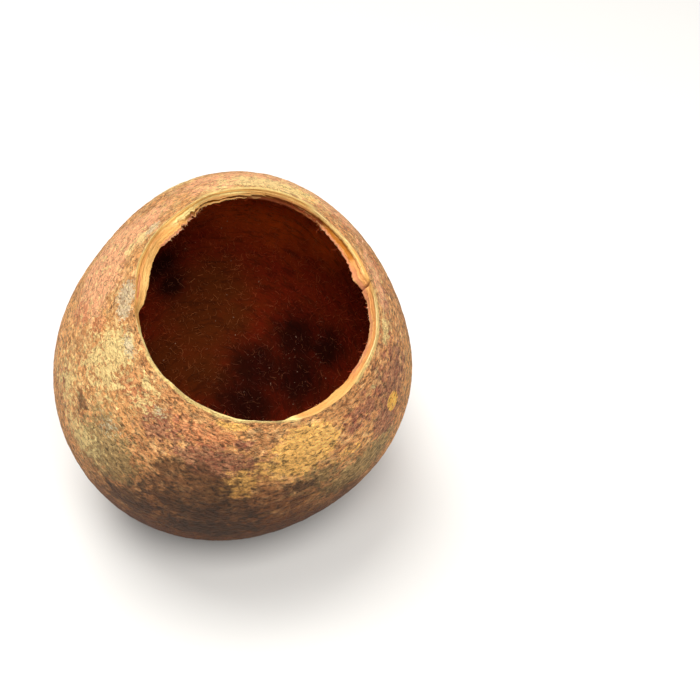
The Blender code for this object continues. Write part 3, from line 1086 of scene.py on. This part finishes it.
def strand_tree():
    """Makes loose strands of wood from lines that carry a thickness."""
    tree, given, end = new_tree("pod_strands", {"Sides": "Int", "Material": "Material"})
    line = add_node(tree, "GeometryNodeMeshToCurve", {"Mesh": given["Geometry"]})
    thickness = add_node(tree, "GeometryNodeInputNamedAttribute", {"Name": "thickness"})
    profile = add_node(
        tree, "GeometryNodeCurvePrimitiveCircle", {"Resolution": given["Sides"], "Radius": 0.5}
    )
    strand = add_node(
        tree,
        "GeometryNodeCurveToMesh",
        {"Curve": line, "Profile Curve": profile, "Scale": thickness, "Fill Caps": True},
    )
    finish_tree(tree, given, end, strand)
    return tree


def grown(name, mesh, tree, values):
    """A plain mesh object: what the tree makes of the mesh with these inputs."""
    piece = bpy.data.objects.new(name, mesh)
    modifier = piece.modifiers.new(name, "NODES")
    modifier.node_group = tree
    for item in tree.interface.items_tree:
        if item.in_out == "INPUT" and item.name in values:
            modifier[item.identifier] = values[item.name]
    bpy.context.scene.collection.objects.link(piece)
    depsgraph = bpy.context.evaluated_depsgraph_get()
    made = bpy.data.meshes.new_from_object(
        piece.evaluated_get(depsgraph), preserve_all_data_layers=True, depsgraph=depsgraph
    )
    piece.modifiers.clear()
    piece.data = made
    bpy.data.meshes.remove(mesh)
    made.name = name
    return piece


def zone_mesh(body, zone, grows, kept):
    """A copy of one zone of the body, marked with how thickly things grow on it."""
    mesh = body.data.copy()
    values = np.zeros(len(mesh.vertices), dtype=np.float32)
    mesh.attributes[grows].data.foreach_get("value", values)
    for name in [a.name for a in mesh.attributes if a.data_type == "FLOAT"]:
        if name not in kept:
            mesh.attributes.remove(mesh.attributes[name])
    add_marks(mesh, {"grows": values})
    bm = bmesh.new()
    bm.from_mesh(mesh)
    others = [face for face in bm.faces if face.material_index != zone]
    bmesh.ops.delete(bm, geom=others, context="FACES")
    bm.to_mesh(mesh)
    bm.free()
    mesh.materials.clear()
    return mesh


def settle(piece):
    """Ties a finished piece to the pod's body."""
    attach(piece, "root")
    return piece


def new_material(name, *wanted):
    """A material, its tree and the marks of the mesh that it follows."""
    material = bpy.data.materials.new(name)
    material.use_nodes = True
    tree, marks = material.node_tree, {}
    for mark in wanted:
        read = add_node(tree, "ShaderNodeAttribute", attribute_name=mark)
        marks[mark] = read.outputs["Vector" if mark == "flow" else "Fac"]
    return material, tree, marks


def dressed(material, colour, constants, heights=(), height_mm=0.0):
    """The material with its colour, its constants and a bump from patterns and their shares."""
    tree = material.node_tree
    shader = tree.nodes["Principled BSDF"]
    tree.links.new(colour.outputs[2], shader.inputs["Base Color"])
    for name, value in constants.items():
        shader.inputs[name].default_value = value
    total = 0.0
    for pattern, share in heights:
        given = {0: pattern, 1: share, 2: total}
        total = add_node(tree, "ShaderNodeMath", given, operation="MULTIPLY_ADD")
    if heights:
        bump = add_node(tree, "ShaderNodeBump", {"Distance": height_mm * MM, "Height": total})
        tree.links.new(bump.outputs[0], shader.inputs["Normal"])
    return material


def ragged(tree, place, where, size_mm, raggedness, low=0.35, high=0.6):
    """A mask with ragged edges: a mark disturbed by noise of a size in mm."""
    pattern = add_node(
        tree,
        "ShaderNodeTexNoise",
        {"Vector": place, "Scale": 1 / size_mm, "Detail": 4.0, "Roughness": 0.65},
    )
    shifted = add_node(
        tree, "ShaderNodeMath", {0: pattern, 1: raggedness, 2: where}, operation="MULTIPLY_ADD"
    )
    middle = raggedness / 2
    return add_node(
        tree,
        "ShaderNodeMapRange",
        {"Value": shifted, "From Min": low + middle, "From Max": high + middle},
        interpolation_type="SMOOTHSTEP",
    )


def grain(tree, place, stretch, size_mm, low, high, detail=2.0, distortion=0.0):
    """A mask of marks of a size in mm, drawn out by stretch, and the noise it comes from."""
    drawn = add_node(tree, "ShaderNodeVectorMath", {0: place, 1: stretch}, operation="MULTIPLY")
    pattern = add_node(
        tree,
        "ShaderNodeTexNoise",
        {
            "Vector": drawn,
            "Scale": 1 / size_mm,
            "Detail": detail,
            "Roughness": 0.6,
            "Distortion": distortion,
        },
    )
    mask = add_node(
        tree,
        "ShaderNodeMapRange",
        {"Value": pattern, "From Min": low, "From Max": high},
        interpolation_type="SMOOTHSTEP",
    )
    return mask, pattern


def creased(tree, place, size_mm, width):
    """1 along thin winding creases of a size in mm, falling to 0 away from them."""
    _, pattern = grain(tree, place, (0.6, 0.6, 1), size_mm, 0.4, 0.6, 3.0, 0.5)
    off = add_node(tree, "ShaderNodeMath", {0: pattern, 1: 0.5}, operation="SUBTRACT")
    off = add_node(tree, "ShaderNodeMath", {0: off}, operation="ABSOLUTE")
    return add_node(
        tree,
        "ShaderNodeMapRange",
        {"Value": off, "From Max": width, "To Min": 1.0, "To Max": 0.0},
        interpolation_type="SMOOTHSTEP",
    )


def layered(tree, base, layers):
    """Lays colours over a base, each by its mask and its strength."""
    for colour, mask, strength in layers:
        share = add_node(tree, "ShaderNodeMath", {0: mask, 1: strength}, operation="MULTIPLY")
        base = add_node(tree, "ShaderNodeMix", {"Factor": share, "A": base, "B": colour}, data_type="RGBA")
    return base


# How each kind of patch shows on the rind: colour, size of its ragged marks in mm, how
# ragged it is, and how strongly it covers
PATCH_FINISH = {
    "peach": ("#EAA47A", 2.4, 1.1, 0.80),
    "rust": ("#BC6C44", 1.6, 1.3, 0.70),
    "plum": ("#86483A", 1.6, 1.3, 0.75),
    "gold": ("#F0B65E", 1.4, 1.3, 0.85),
    "olive": ("#8C7C4C", 1.2, 1.6, 0.70),
    "pale": ("#EED48E", 1.1, 2.3, 0.72),
    "grey": ("#CABD9E", 0.6, 2.0, 0.70),
    # The brown is partly the skin's own and partly painted shade low on the front
    "brown_and_shade": ("#55321A", 2.4, 1.4, 0.82),
    "chip": ("#E4A844", 0.6, 0.3, 1.00),
}


def dried_rind(colours):
    """Dried fruit rind, weathered and unpolished: it gives a dull, wrinkled, patchy skin, with painted
    light and shade on its relief and painted shade underneath.
    """
    wanted = ("flow", *RIND_PATCHES, "painted_shade_side", "lip_skin")
    material, tree, marks = new_material("dried_rind", *wanted)
    flow, masks = marks["flow"], {}
    # Broad blotches where the skin dried at different speeds
    redder, _ = grain(tree, flow, (1, 1, 1), 9.0, 0.42, 0.60, detail=5.0)
    lighter, _ = grain(tree, flow, (0.8, 0.8, 1), 1.9, 0.50, 0.66, detail=4.0)
    darker, _ = grain(tree, flow, (0.7, 0.7, 1.1), 2.6, 0.50, 0.34, detail=5.0)
    for kind, (_, size, raggedness, _) in PATCH_FINISH.items():
        masks[kind] = ragged(tree, flow, marks[kind], size, raggedness)
    # The skin is finely wrinkled; where it is calmer, thin winding cracks cut it
    plainer = add_node(tree, "ShaderNodeMath", {0: marks["peach"], 1: marks["pale"]})
    plainer = add_node(tree, "ShaderNodeMath", {0: plainer, 1: marks["grey"]})
    calm = ragged(tree, flow, plainer, 3.0, 1.0, 0.15, 0.55)
    # Painted shade on the underside, with ragged edges; there, and on the brown patches, the ridges and
    # painted highlights are calmed
    under = ragged(tree, flow, marks["painted_shade_side"], 6.0, 0.9, 0.0, 1.0)
    dark_patch_or_shade = add_node(tree, "ShaderNodeMath", {0: masks["brown_and_shade"], 1: under}, operation="MAXIMUM")
    highlights_show = add_node(tree, "ShaderNodeMapRange", {"Value": dark_patch_or_shade, "To Min": 1.0, "To Max": 0.15})
    livelier = add_node(tree, "ShaderNodeMapRange", {"Value": calm, "To Min": 1.0, "To Max": 0.3})
    masks["cracks"] = creased(tree, flow, 1.5, 0.035)
    masks["ridges"] = creased(tree, flow, 0.90, 0.08)
    masks["blotches"], _ = grain(tree, flow, (0.7, 0.7, 1), 1.3, 0.56, 0.64, 3.0)
    masks["specks"], _ = grain(tree, flow, (0.8, 0.8, 1), 0.55, 0.54, 0.62, 3.0)
    # Painted highlights on the wrinkles' tops
    masks["painted_highlight_tops"], wrinkles = grain(tree, flow, (0.65, 0.65, 1), 0.74, 0.56, 0.68, 5.0, 0.6)
    masks["pits"], pit_height = grain(tree, flow, (0.9, 0.9, 1), 0.50, 0.38, 0.30, 3.0)
    # Each of these fades where the mask beside it does
    for name, limit in (
        ("blotches", marks["peach"]),
        ("cracks", calm),
        ("specks", calm),
        ("ridges", highlights_show),
        ("ridges", livelier),
        ("painted_highlight_tops", highlights_show),
        ("pits", livelier),
    ):
        both = {0: masks[name], 1: limit}
        masks[name] = add_node(tree, "ShaderNodeMath", both, operation="MULTIPLY")
    layers = [
        (colours.rust, redder, 0.45),
        (linear("#ECC084"), lighter, 0.50),
        (linear("#8C5230"), darker, 0.50),
        *((linear(finish[0]), masks[kind], finish[3]) for kind, finish in PATCH_FINISH.items()),
        (linear("#EED08A"), masks["blotches"], 0.75),
    ]
    colour = layered(tree, colours.rind, layers)
    # Painted light and shade of the relief: the colour is darkened in the wrinkles' hollows and lightened
    # on their tops, and more on the ridges, the same pattern that the bump raises
    off = add_node(tree, "ShaderNodeMath", {0: wrinkles, 1: 0.5}, operation="SUBTRACT")
    contrast = add_node(tree, "ShaderNodeMapRange", {"Value": calm, "To Min": 6.4, "To Max": 1.6})
    tone = add_node(tree, "ShaderNodeMath", {0: off, 1: contrast, 2: 1.08}, operation="MULTIPLY_ADD")
    tone = add_node(
        tree, "ShaderNodeMath", {0: masks["ridges"], 1: 0.75, 2: tone}, operation="MULTIPLY_ADD"
    )
    tone = add_node(tree, "ShaderNodeMath", {0: tone, 1: 0.24}, operation="MAXIMUM")
    shaded = add_node(
        tree,
        "ShaderNodeMix",
        {"Factor": 1.0, "A": colour.outputs[2], "B": tone},
        data_type="RGBA",
        blend_type="MULTIPLY",
    )
    lip_skin = ragged(tree, flow, marks["lip_skin"], 0.8, 0.5, 0.2, 0.7)
    # The first two layers are painted highlights, on the ridges and on the wrinkles' tops
    layers = [
        (linear("#FFD898"), masks["ridges"], 0.22),
        (linear("#FFD694"), masks["painted_highlight_tops"], 0.34),
        (linear("#F0DC98"), masks["specks"], 0.45),
        (linear("#6E4826"), masks["cracks"], 0.70),
        (colours.bark, masks["pits"], 0.42),
        (linear("#FFE290"), lip_skin, 0.75),
    ]
    colour = layered(tree, shaded, layers)
    # Painted shade darkens the colour on the underside
    colour = add_node(
        tree,
        "ShaderNodeMix",
        {"Factor": under, "A": colour.outputs[2], "B": linear("#604828")},
        data_type="RGBA",
        blend_type="MULTIPLY",
    )
    constants = {
        "Roughness": 0.70,
        "Specular IOR Level": 0.22,
        "Sheen Weight": 0.10,
        "Sheen Roughness": 0.4,
        "Sheen Tint": linear("#FFC080"),
    }
    heights = ((wrinkles, 1.0), (pit_height, 0.5), (masks["ridges"], 0.45))
    return dressed(material, colour, constants, heights, 1.4)


def cut_woody_edge(colours):
    """The cut through the woody wall, sliced and torn: pale, in fine layers along the rim, with painted
    shade in its crease and on the inner half of its top.
    """
    wanted = ("flow", *("cut_" + name for name in CUT_MARKS))
    material, tree, marks = new_material("cut_woody_edge", *wanted)
    flow = marks["flow"]
    layers_dark, layer_height = grain(tree, flow, (0.08, 0.08, 1), 0.36, 0.48, 0.38, 3.0)
    layers_light, _ = grain(tree, flow, (0.10, 0.10, 1), 0.40, 0.54, 0.64, 2.0)
    gaps, _ = grain(tree, flow, (0.07, 0.07, 1), 0.60, 0.52, 0.42, 2.0, 0.3)
    gaps = add_node(tree, "ShaderNodeMath", {0: gaps, 1: marks["cut_split"]}, operation="MULTIPLY")
    pores, pore_height = grain(tree, flow, (1, 1, 1), 0.40, 0.40, 0.32, 2.0)
    # Painted shade in the crease, which its shallow relief does not darken enough
    crease = ragged(tree, flow, marks["cut_crease"], 0.7, 0.4, 0.25, 0.75)
    layers = []
    for kind, colour in TINT_COLOURS.items():
        mask = ragged(tree, flow, marks["cut_" + kind], 0.5, 0.4, 0.05, 0.95)
        layers.append((linear(colour), mask, 1.0))
    layers += [
        (linear("#F6CC84"), layers_light, 0.28),
        (linear("#B06C2C"), layers_dark, 0.28),
        (linear("#6E3C10"), gaps, 0.70),
        (linear("#8E5616"), crease, 0.40),
        (linear("#9A5A2A"), pores, 0.45),
        (linear("#5A2810"), marks["cut_crack"], 0.95),
    ]
    colour = layered(tree, colours.cut_wood, layers)
    constants = {"Roughness": 0.70, "Specular IOR Level": 0.15}
    return dressed(material, colour, constants, ((layer_height, 1.0), (pore_height, 0.4)), 0.35)


def lining_colour(tree, marks, maroon, red, tan, black):
    """The lining's colour: maroon, with painted light making it redder or partly tan in some places, and
    mostly painted shadow making it nearly black in others.
    """
    flow = marks["flow"]
    masks = {name: ragged(tree, flow, marks[name], 4.0, 0.8, -0.10, 1.00) for name in LINING_PLACES}
    dark_wisps, _ = grain(tree, flow, (0.4, 0.4, 1), 1.4, 0.50, 0.36, 4.0, 0.8)
    light_wisps, _ = grain(tree, flow, (0.4, 0.4, 1), 0.9, 0.54, 0.68, 3.0, 1.0)
    layers = [
        (linear(red), masks["red_painted_light"], 0.85),
        (linear(tan), masks["tan_and_painted_light"], 0.85),
        (linear(tan), light_wisps, 0.30),
        (linear("#300C04"), dark_wisps, 0.40),
        (linear(black), masks["black_and_painted_shadow"], 0.90),
    ]
    return layered(tree, maroon, layers)


def scraped_felt_lining(colours):
    """The scraped inside, dried pulp and felt: it takes in nearly all light."""
    material, tree, marks = new_material("scraped_felt_lining", "flow", *LINING_PLACES)
    # The redder colour is painted light, the tan partly painted light and the near black mostly painted
    # shadow
    colour = lining_colour(tree, marks, colours.lining, "#E65E16", "#56280A", "#180603")
    _, height = grain(tree, marks["flow"], (1, 1, 1), 0.55, 0.4, 0.6, 3.0)
    constants = {"Roughness": 0.95, "Specular IOR Level": 0.05}
    return dressed(material, colour, constants, ((height, 1.0),), 0.5)


def felt_fibre(colours):
    """Fine dry fibres left on the inside: a few of them catch the light."""
    material, tree, marks = new_material("felt_fibre", "tone", "flow", *LINING_PLACES)
    # The fibres carry the same painted light and shadow as the lining under them
    ground = lining_colour(tree, marks, linear("#A8361A"), "#D05C24", "#965428", "#482820")
    share = {"Value": marks["tone"], "From Min": 0.45, "To Max": 0.28}
    bright = add_node(tree, "ShaderNodeMapRange", share)
    colour = layered(tree, ground, [(colours.fibre, bright, 1.0)])
    return dressed(material, colour, {"Roughness": 0.7, "Specular IOR Level": 0.15})


def torn_wood_fibre(colours):
    """Splinters torn from the cut: thin, so that light passes and they look pinkish."""
    material, tree, marks = new_material("torn_wood_fibre", "tone")
    colour = layered(tree, colours.cut_wood, [(linear("#DDA08C"), marks["tone"], 0.9)])
    constants = {
        "Roughness": 0.6,
        "Subsurface Weight": 0.3,
        "Subsurface Radius": (0.5 * MM, 0.25 * MM, 0.12 * MM),
        "Subsurface Scale": 1.0,
    }
    return dressed(material, colour, constants)


def dried_pulp_crumb(colours):
    """Crumbs of dried pulp: pale and powdery beside the dark felt."""
    material, tree, marks = new_material("dried_pulp_crumb", "tone")
    colour = layered(tree, colours.crumb, [(linear("#B08C74"), marks["tone"], 1.0)])
    return dressed(material, colour, {"Roughness": 0.8})


def matt_pale_board():
    """Matt pale board under the pod: plain, with a faint unevenness in its sheen."""
    material, tree, _ = new_material("matt_pale_board")
    shader = tree.nodes["Principled BSDF"]
    place = add_node(tree, "ShaderNodeTexCoord").outputs["Object"]
    uneven = add_node(tree, "ShaderNodeTexNoise", {"Vector": place, "Scale": 4.0, "Detail": 3.0})
    roughness = add_node(tree, "ShaderNodeMapRange", {"Value": uneven, "To Min": 0.88, "To Max": 0.98})
    shader.inputs["Base Color"].default_value = linear("#D8D7D6")
    shader.inputs["Specular IOR Level"].default_value = 0.1
    tree.links.new(roughness.outputs[0], shader.inputs["Roughness"])
    return material


def strand_lines(rows, name):
    """Lines along the cut edge: each row is degrees from and to, share across the cut at
    both ends, height above it in mm, thickness in mm and a seed for its wobble."""
    points, edges, thickness = [], [], []
    for start, end, share_from, share_to, lift, thick, seed in rows:
        count = max(6, int(abs(end - start) * 1.2))
        along = np.linspace(0.0, 1.0, count)
        around = np.radians(start + (end - start) * along)
        polar = mouth_polar(around)
        skin = skin_points(polar, around)
        edge = inner_point(inner_edge_polar(around), around, 0.0)
        wobble = rough(skin, 0.35, 3, seed) * 0.12
        share = share_from + (share_to - share_from) * along + wobble
        up = np.array((0.0, 0.0, 1.0))
        sunk = cut_sunk(around, share)
        bow = lift * MM * np.sin(math.pi * along) + 0.02 * MM
        line = skin + (edge - skin) * share[:, None] + up * (bow - sunk)[:, None]
        first = len(points)
        points.extend(placed(line).tolist())
        edges.extend((first + i, first + i + 1) for i in range(count - 1))
        thickness.extend(thick * MM * (0.35 + 0.65 * np.sin(math.pi * along) ** 0.5))
    mesh = bpy.data.meshes.new(name)
    mesh.from_pydata(points, edges, [])
    add_marks(mesh, {"thickness": np.array(thickness)})
    return mesh


class PodOperator:
    """What the pod's operators share."""

    bl_options = {"REGISTER", "UNDO"}


class POD_OT_body(PodOperator, bpy.types.Operator):
    """Builds the pod itself: rind, cut edge and lining as one closed shell"""

    bl_idname = "pod.body"
    bl_label = "Pod Body"

    def execute(self, context):
        sizes, colours = context.scene.pod_sizes, context.scene.pod_colours
        mesh = surface_mesh(shell_surface(), "pod_body")
        for material in (dried_rind(colours), cut_woody_edge(colours), scraped_felt_lining(colours)):
            mesh.materials.append(material)
        body = grown(
            "pod_body",
            mesh,
            relief_tree(),
            {
                "Wrinkle Height": sizes.wrinkle_height,
                "Wrinkle Spacing": sizes.wrinkle_spacing,
                "Felt Height": sizes.felt_height,
                "Felt Spacing": sizes.felt_spacing,
            },
        )
        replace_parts(settle(body), "pod_shell")
        return {"FINISHED"}


class POD_OT_felt(PodOperator, bpy.types.Operator):
    """Grows the short curled fibres of the lining, in a long and a short layer"""

    bl_idname = "pod.felt"
    bl_label = "Inner Felt"

    def execute(self, context):
        sizes = context.scene.pod_sizes
        material = felt_fibre(context.scene.pod_colours)
        tree = fibre_tree()
        for name, length, density, lean, seed in (
            ("inner_felt", 1.0, 1.0, 0.9, 0), ("inner_fuzz", 0.6, 1.0, 0.6, 50)
        ):
            values = {
                "Fibre Length": sizes.fibre_length * length,
                "Fibre Thickness": sizes.fibre_thickness,
                "Fibres": sizes.fibres_per_cm2 * density * 1e4,
                "Lean": lean,
                "Seed": sizes.seed + seed,
                "Material": material,
            }
            kept = tuple(LINING_PLACES)
            ground = zone_mesh(bpy.data.objects["pod_body"], LINING_ZONE, "felt_grows", kept)
            settle(grown(name, ground, tree, values))
        return {"FINISHED"}


# Layers of the wall that the blade left standing: degrees from and to, share across the
# cut at both ends, height and thickness in mm, and a seed
RIM_STRANDS = (
    (127, 101, 0.48, 0.44, 0.16, 0.26, 1.0),
    (124, 97, 0.64, 0.58, 0.20, 0.30, 2.0),
    (121, 99, 0.82, 0.74, 0.18, 0.24, 3.0),
    (113, 90, 0.58, 0.54, 0.06, 0.20, 4.0),
    (128, 108, 0.92, 0.84, 0.24, 0.24, 7.0),
    (16, 2, 0.60, 0.66, 0.03, 0.16, 10.0),
    (148, 131, 0.82, 0.76, 0.08, 0.18, 11.0),
)


class POD_OT_rim(PodOperator, bpy.types.Operator):
    """Adds the torn fibres and loose strands of the cut edge"""

    bl_idname = "pod.rim"
    bl_label = "Torn Rim"

    def execute(self, context):
        sizes = context.scene.pod_sizes
        material = torn_wood_fibre(context.scene.pod_colours)
        ground = zone_mesh(bpy.data.objects["pod_body"], CUT_ZONE, "rim_grows", ())
        values = {
            "Fibre Length": 0.50 * MM,
            "Fibre Thickness": 0.08 * MM,
            "Fibres": 2400.0 * 1e4,
            "Lean": 1.0,
            "Seed": sizes.seed + 100,
            "Material": material,
        }
        settle(grown("rim_fibres", ground, fibre_tree(), values))
        lines = strand_lines(RIM_STRANDS, "rim_layers")
        settle(grown("rim_layers", lines, strand_tree(), {"Sides": 6, "Material": material}))
        return {"FINISHED"}


class POD_OT_crumbs(PodOperator, bpy.types.Operator):
    """Scatters crumbs of dried pulp over the lining"""

    bl_idname = "pod.crumbs"
    bl_label = "Pulp Crumbs"

    def execute(self, context):
        sizes = context.scene.pod_sizes
        ground = zone_mesh(bpy.data.objects["pod_body"], LINING_ZONE, "crumb_grows", ())
        values = {
            "Crumb Size": 0.32 * MM,
            "Crumbs": sizes.crumbs_per_cm2 * 1e4,
            "Lean": 0.8,
            "Seed": sizes.seed + 200,
            "Material": dried_pulp_crumb(context.scene.pod_colours),
        }
        settle(grown("inner_crumbs", ground, crumb_tree(), values))
        return {"FINISHED"}


# The stage: how far the floor reaches and how low it lies, and for each lamp its name, place
# and size in metres, power in watts, and colour
FLOOR_REACH = 3.0
FLOOR_HEIGHT = -0.02 * MM
LAMPS = (
    ("key_lamp", (0.10, -0.44, 0.60), 0.40, 5.2, "#FFFDF8"),
    ("top_lamp", (-0.12, 0.08, 0.62), 0.45, 4.0, "#FFFDF8"),
)
WORLD_STRENGTH = 0.38


class POD_OT_stage(PodOperator, bpy.types.Operator):
    """Sets up the floor, the lamps and the camera"""

    bl_idname = "pod.stage"
    bl_label = "Plain Stage"

    def execute(self, context):
        scene = context.scene
        floor_mesh = bpy.data.meshes.new("floor")
        sides = ((-1, -1), (1, -1), (1, 1), (-1, 1))
        corners = [(x * FLOOR_REACH, y * FLOOR_REACH, FLOOR_HEIGHT) for x, y in sides]
        floor_mesh.from_pydata(corners, [], [(0, 1, 2, 3)])
        floor_mesh.materials.append(matt_pale_board())
        floor = bpy.data.objects.new("floor", floor_mesh)
        scene.collection.objects.link(floor)
        world = bpy.data.worlds.new("pale_studio")
        world.use_nodes = True
        background = world.node_tree.nodes["Background"]
        background.inputs["Color"].default_value = linear("#FFFFFF")
        background.inputs["Strength"].default_value = WORLD_STRENGTH
        scene.world = world
        for name, place, size, power, colour in LAMPS:
            lamp = bpy.data.lights.new(name, "AREA")
            lamp.size = size
            lamp.energy = power
            lamp.color = linear(colour)[:3]
            stand = bpy.data.objects.new(name, lamp)
            stand.location = place
            towards = CENTRE - Vector(place)
            stand.rotation_euler = towards.to_track_quat("-Z", "Y").to_euler()
            scene.collection.objects.link(stand)
        camera = bpy.data.cameras.new("camera")
        camera.lens = CAMERA_LENS_MM
        camera.sensor_width = 36.0
        camera.clip_start = 0.01
        camera_object = bpy.data.objects.new("camera", camera)
        camera_object.location = CENTRE + CAMERA_FROM_CENTRE
        camera_object.rotation_euler = (CAMERA_TILT, 0.0, 0.0)
        scene.collection.objects.link(camera_object)
        scene.camera = camera_object
        scene.view_settings.view_transform = "Standard"
        return {"FINISHED"}


PARTS_IN_ORDER = (POD_OT_body, POD_OT_felt, POD_OT_rim, POD_OT_crumbs, POD_OT_stage)


class POD_PT_panel(bpy.types.Panel):
    """Lists the pod's sizes, colours and parts"""

    bl_label = "Dried Bell Cup Pod"
    bl_idname = "POD_PT_panel"
    bl_space_type = "VIEW_3D"
    bl_region_type = "UI"
    bl_category = "Pod"

    def draw(self, context):
        for group in (context.scene.pod_sizes, context.scene.pod_colours):
            column = self.layout.column(align=True)
            for name in group.__annotations__:
                column.prop(group, name)
        for part in PARTS_IN_ORDER:
            self.layout.operator(part.bl_idname)


CLASSES = (PodSizes, PodColours, *PARTS_IN_ORDER, POD_PT_panel)


def register():
    """Makes the pod's classes and settings known to Blender."""
    for item in CLASSES:
        bpy.utils.register_class(item)
    bpy.types.Scene.pod_sizes = PointerProperty(type=PodSizes)
    bpy.types.Scene.pod_colours = PointerProperty(type=PodColours)


def unregister():
    """Takes the pod's classes and settings out again."""
    del bpy.types.Scene.pod_colours
    del bpy.types.Scene.pod_sizes
    for item in reversed(CLASSES):
        bpy.utils.unregister_class(item)


def main():
    """Builds the pod and its stage."""
    register()
    bpy.ops.pod.body()
    bpy.ops.pod.felt()
    bpy.ops.pod.rim()
    bpy.ops.pod.crumbs()
    bpy.ops.pod.stage()


if __name__ == "__main__":
    main()
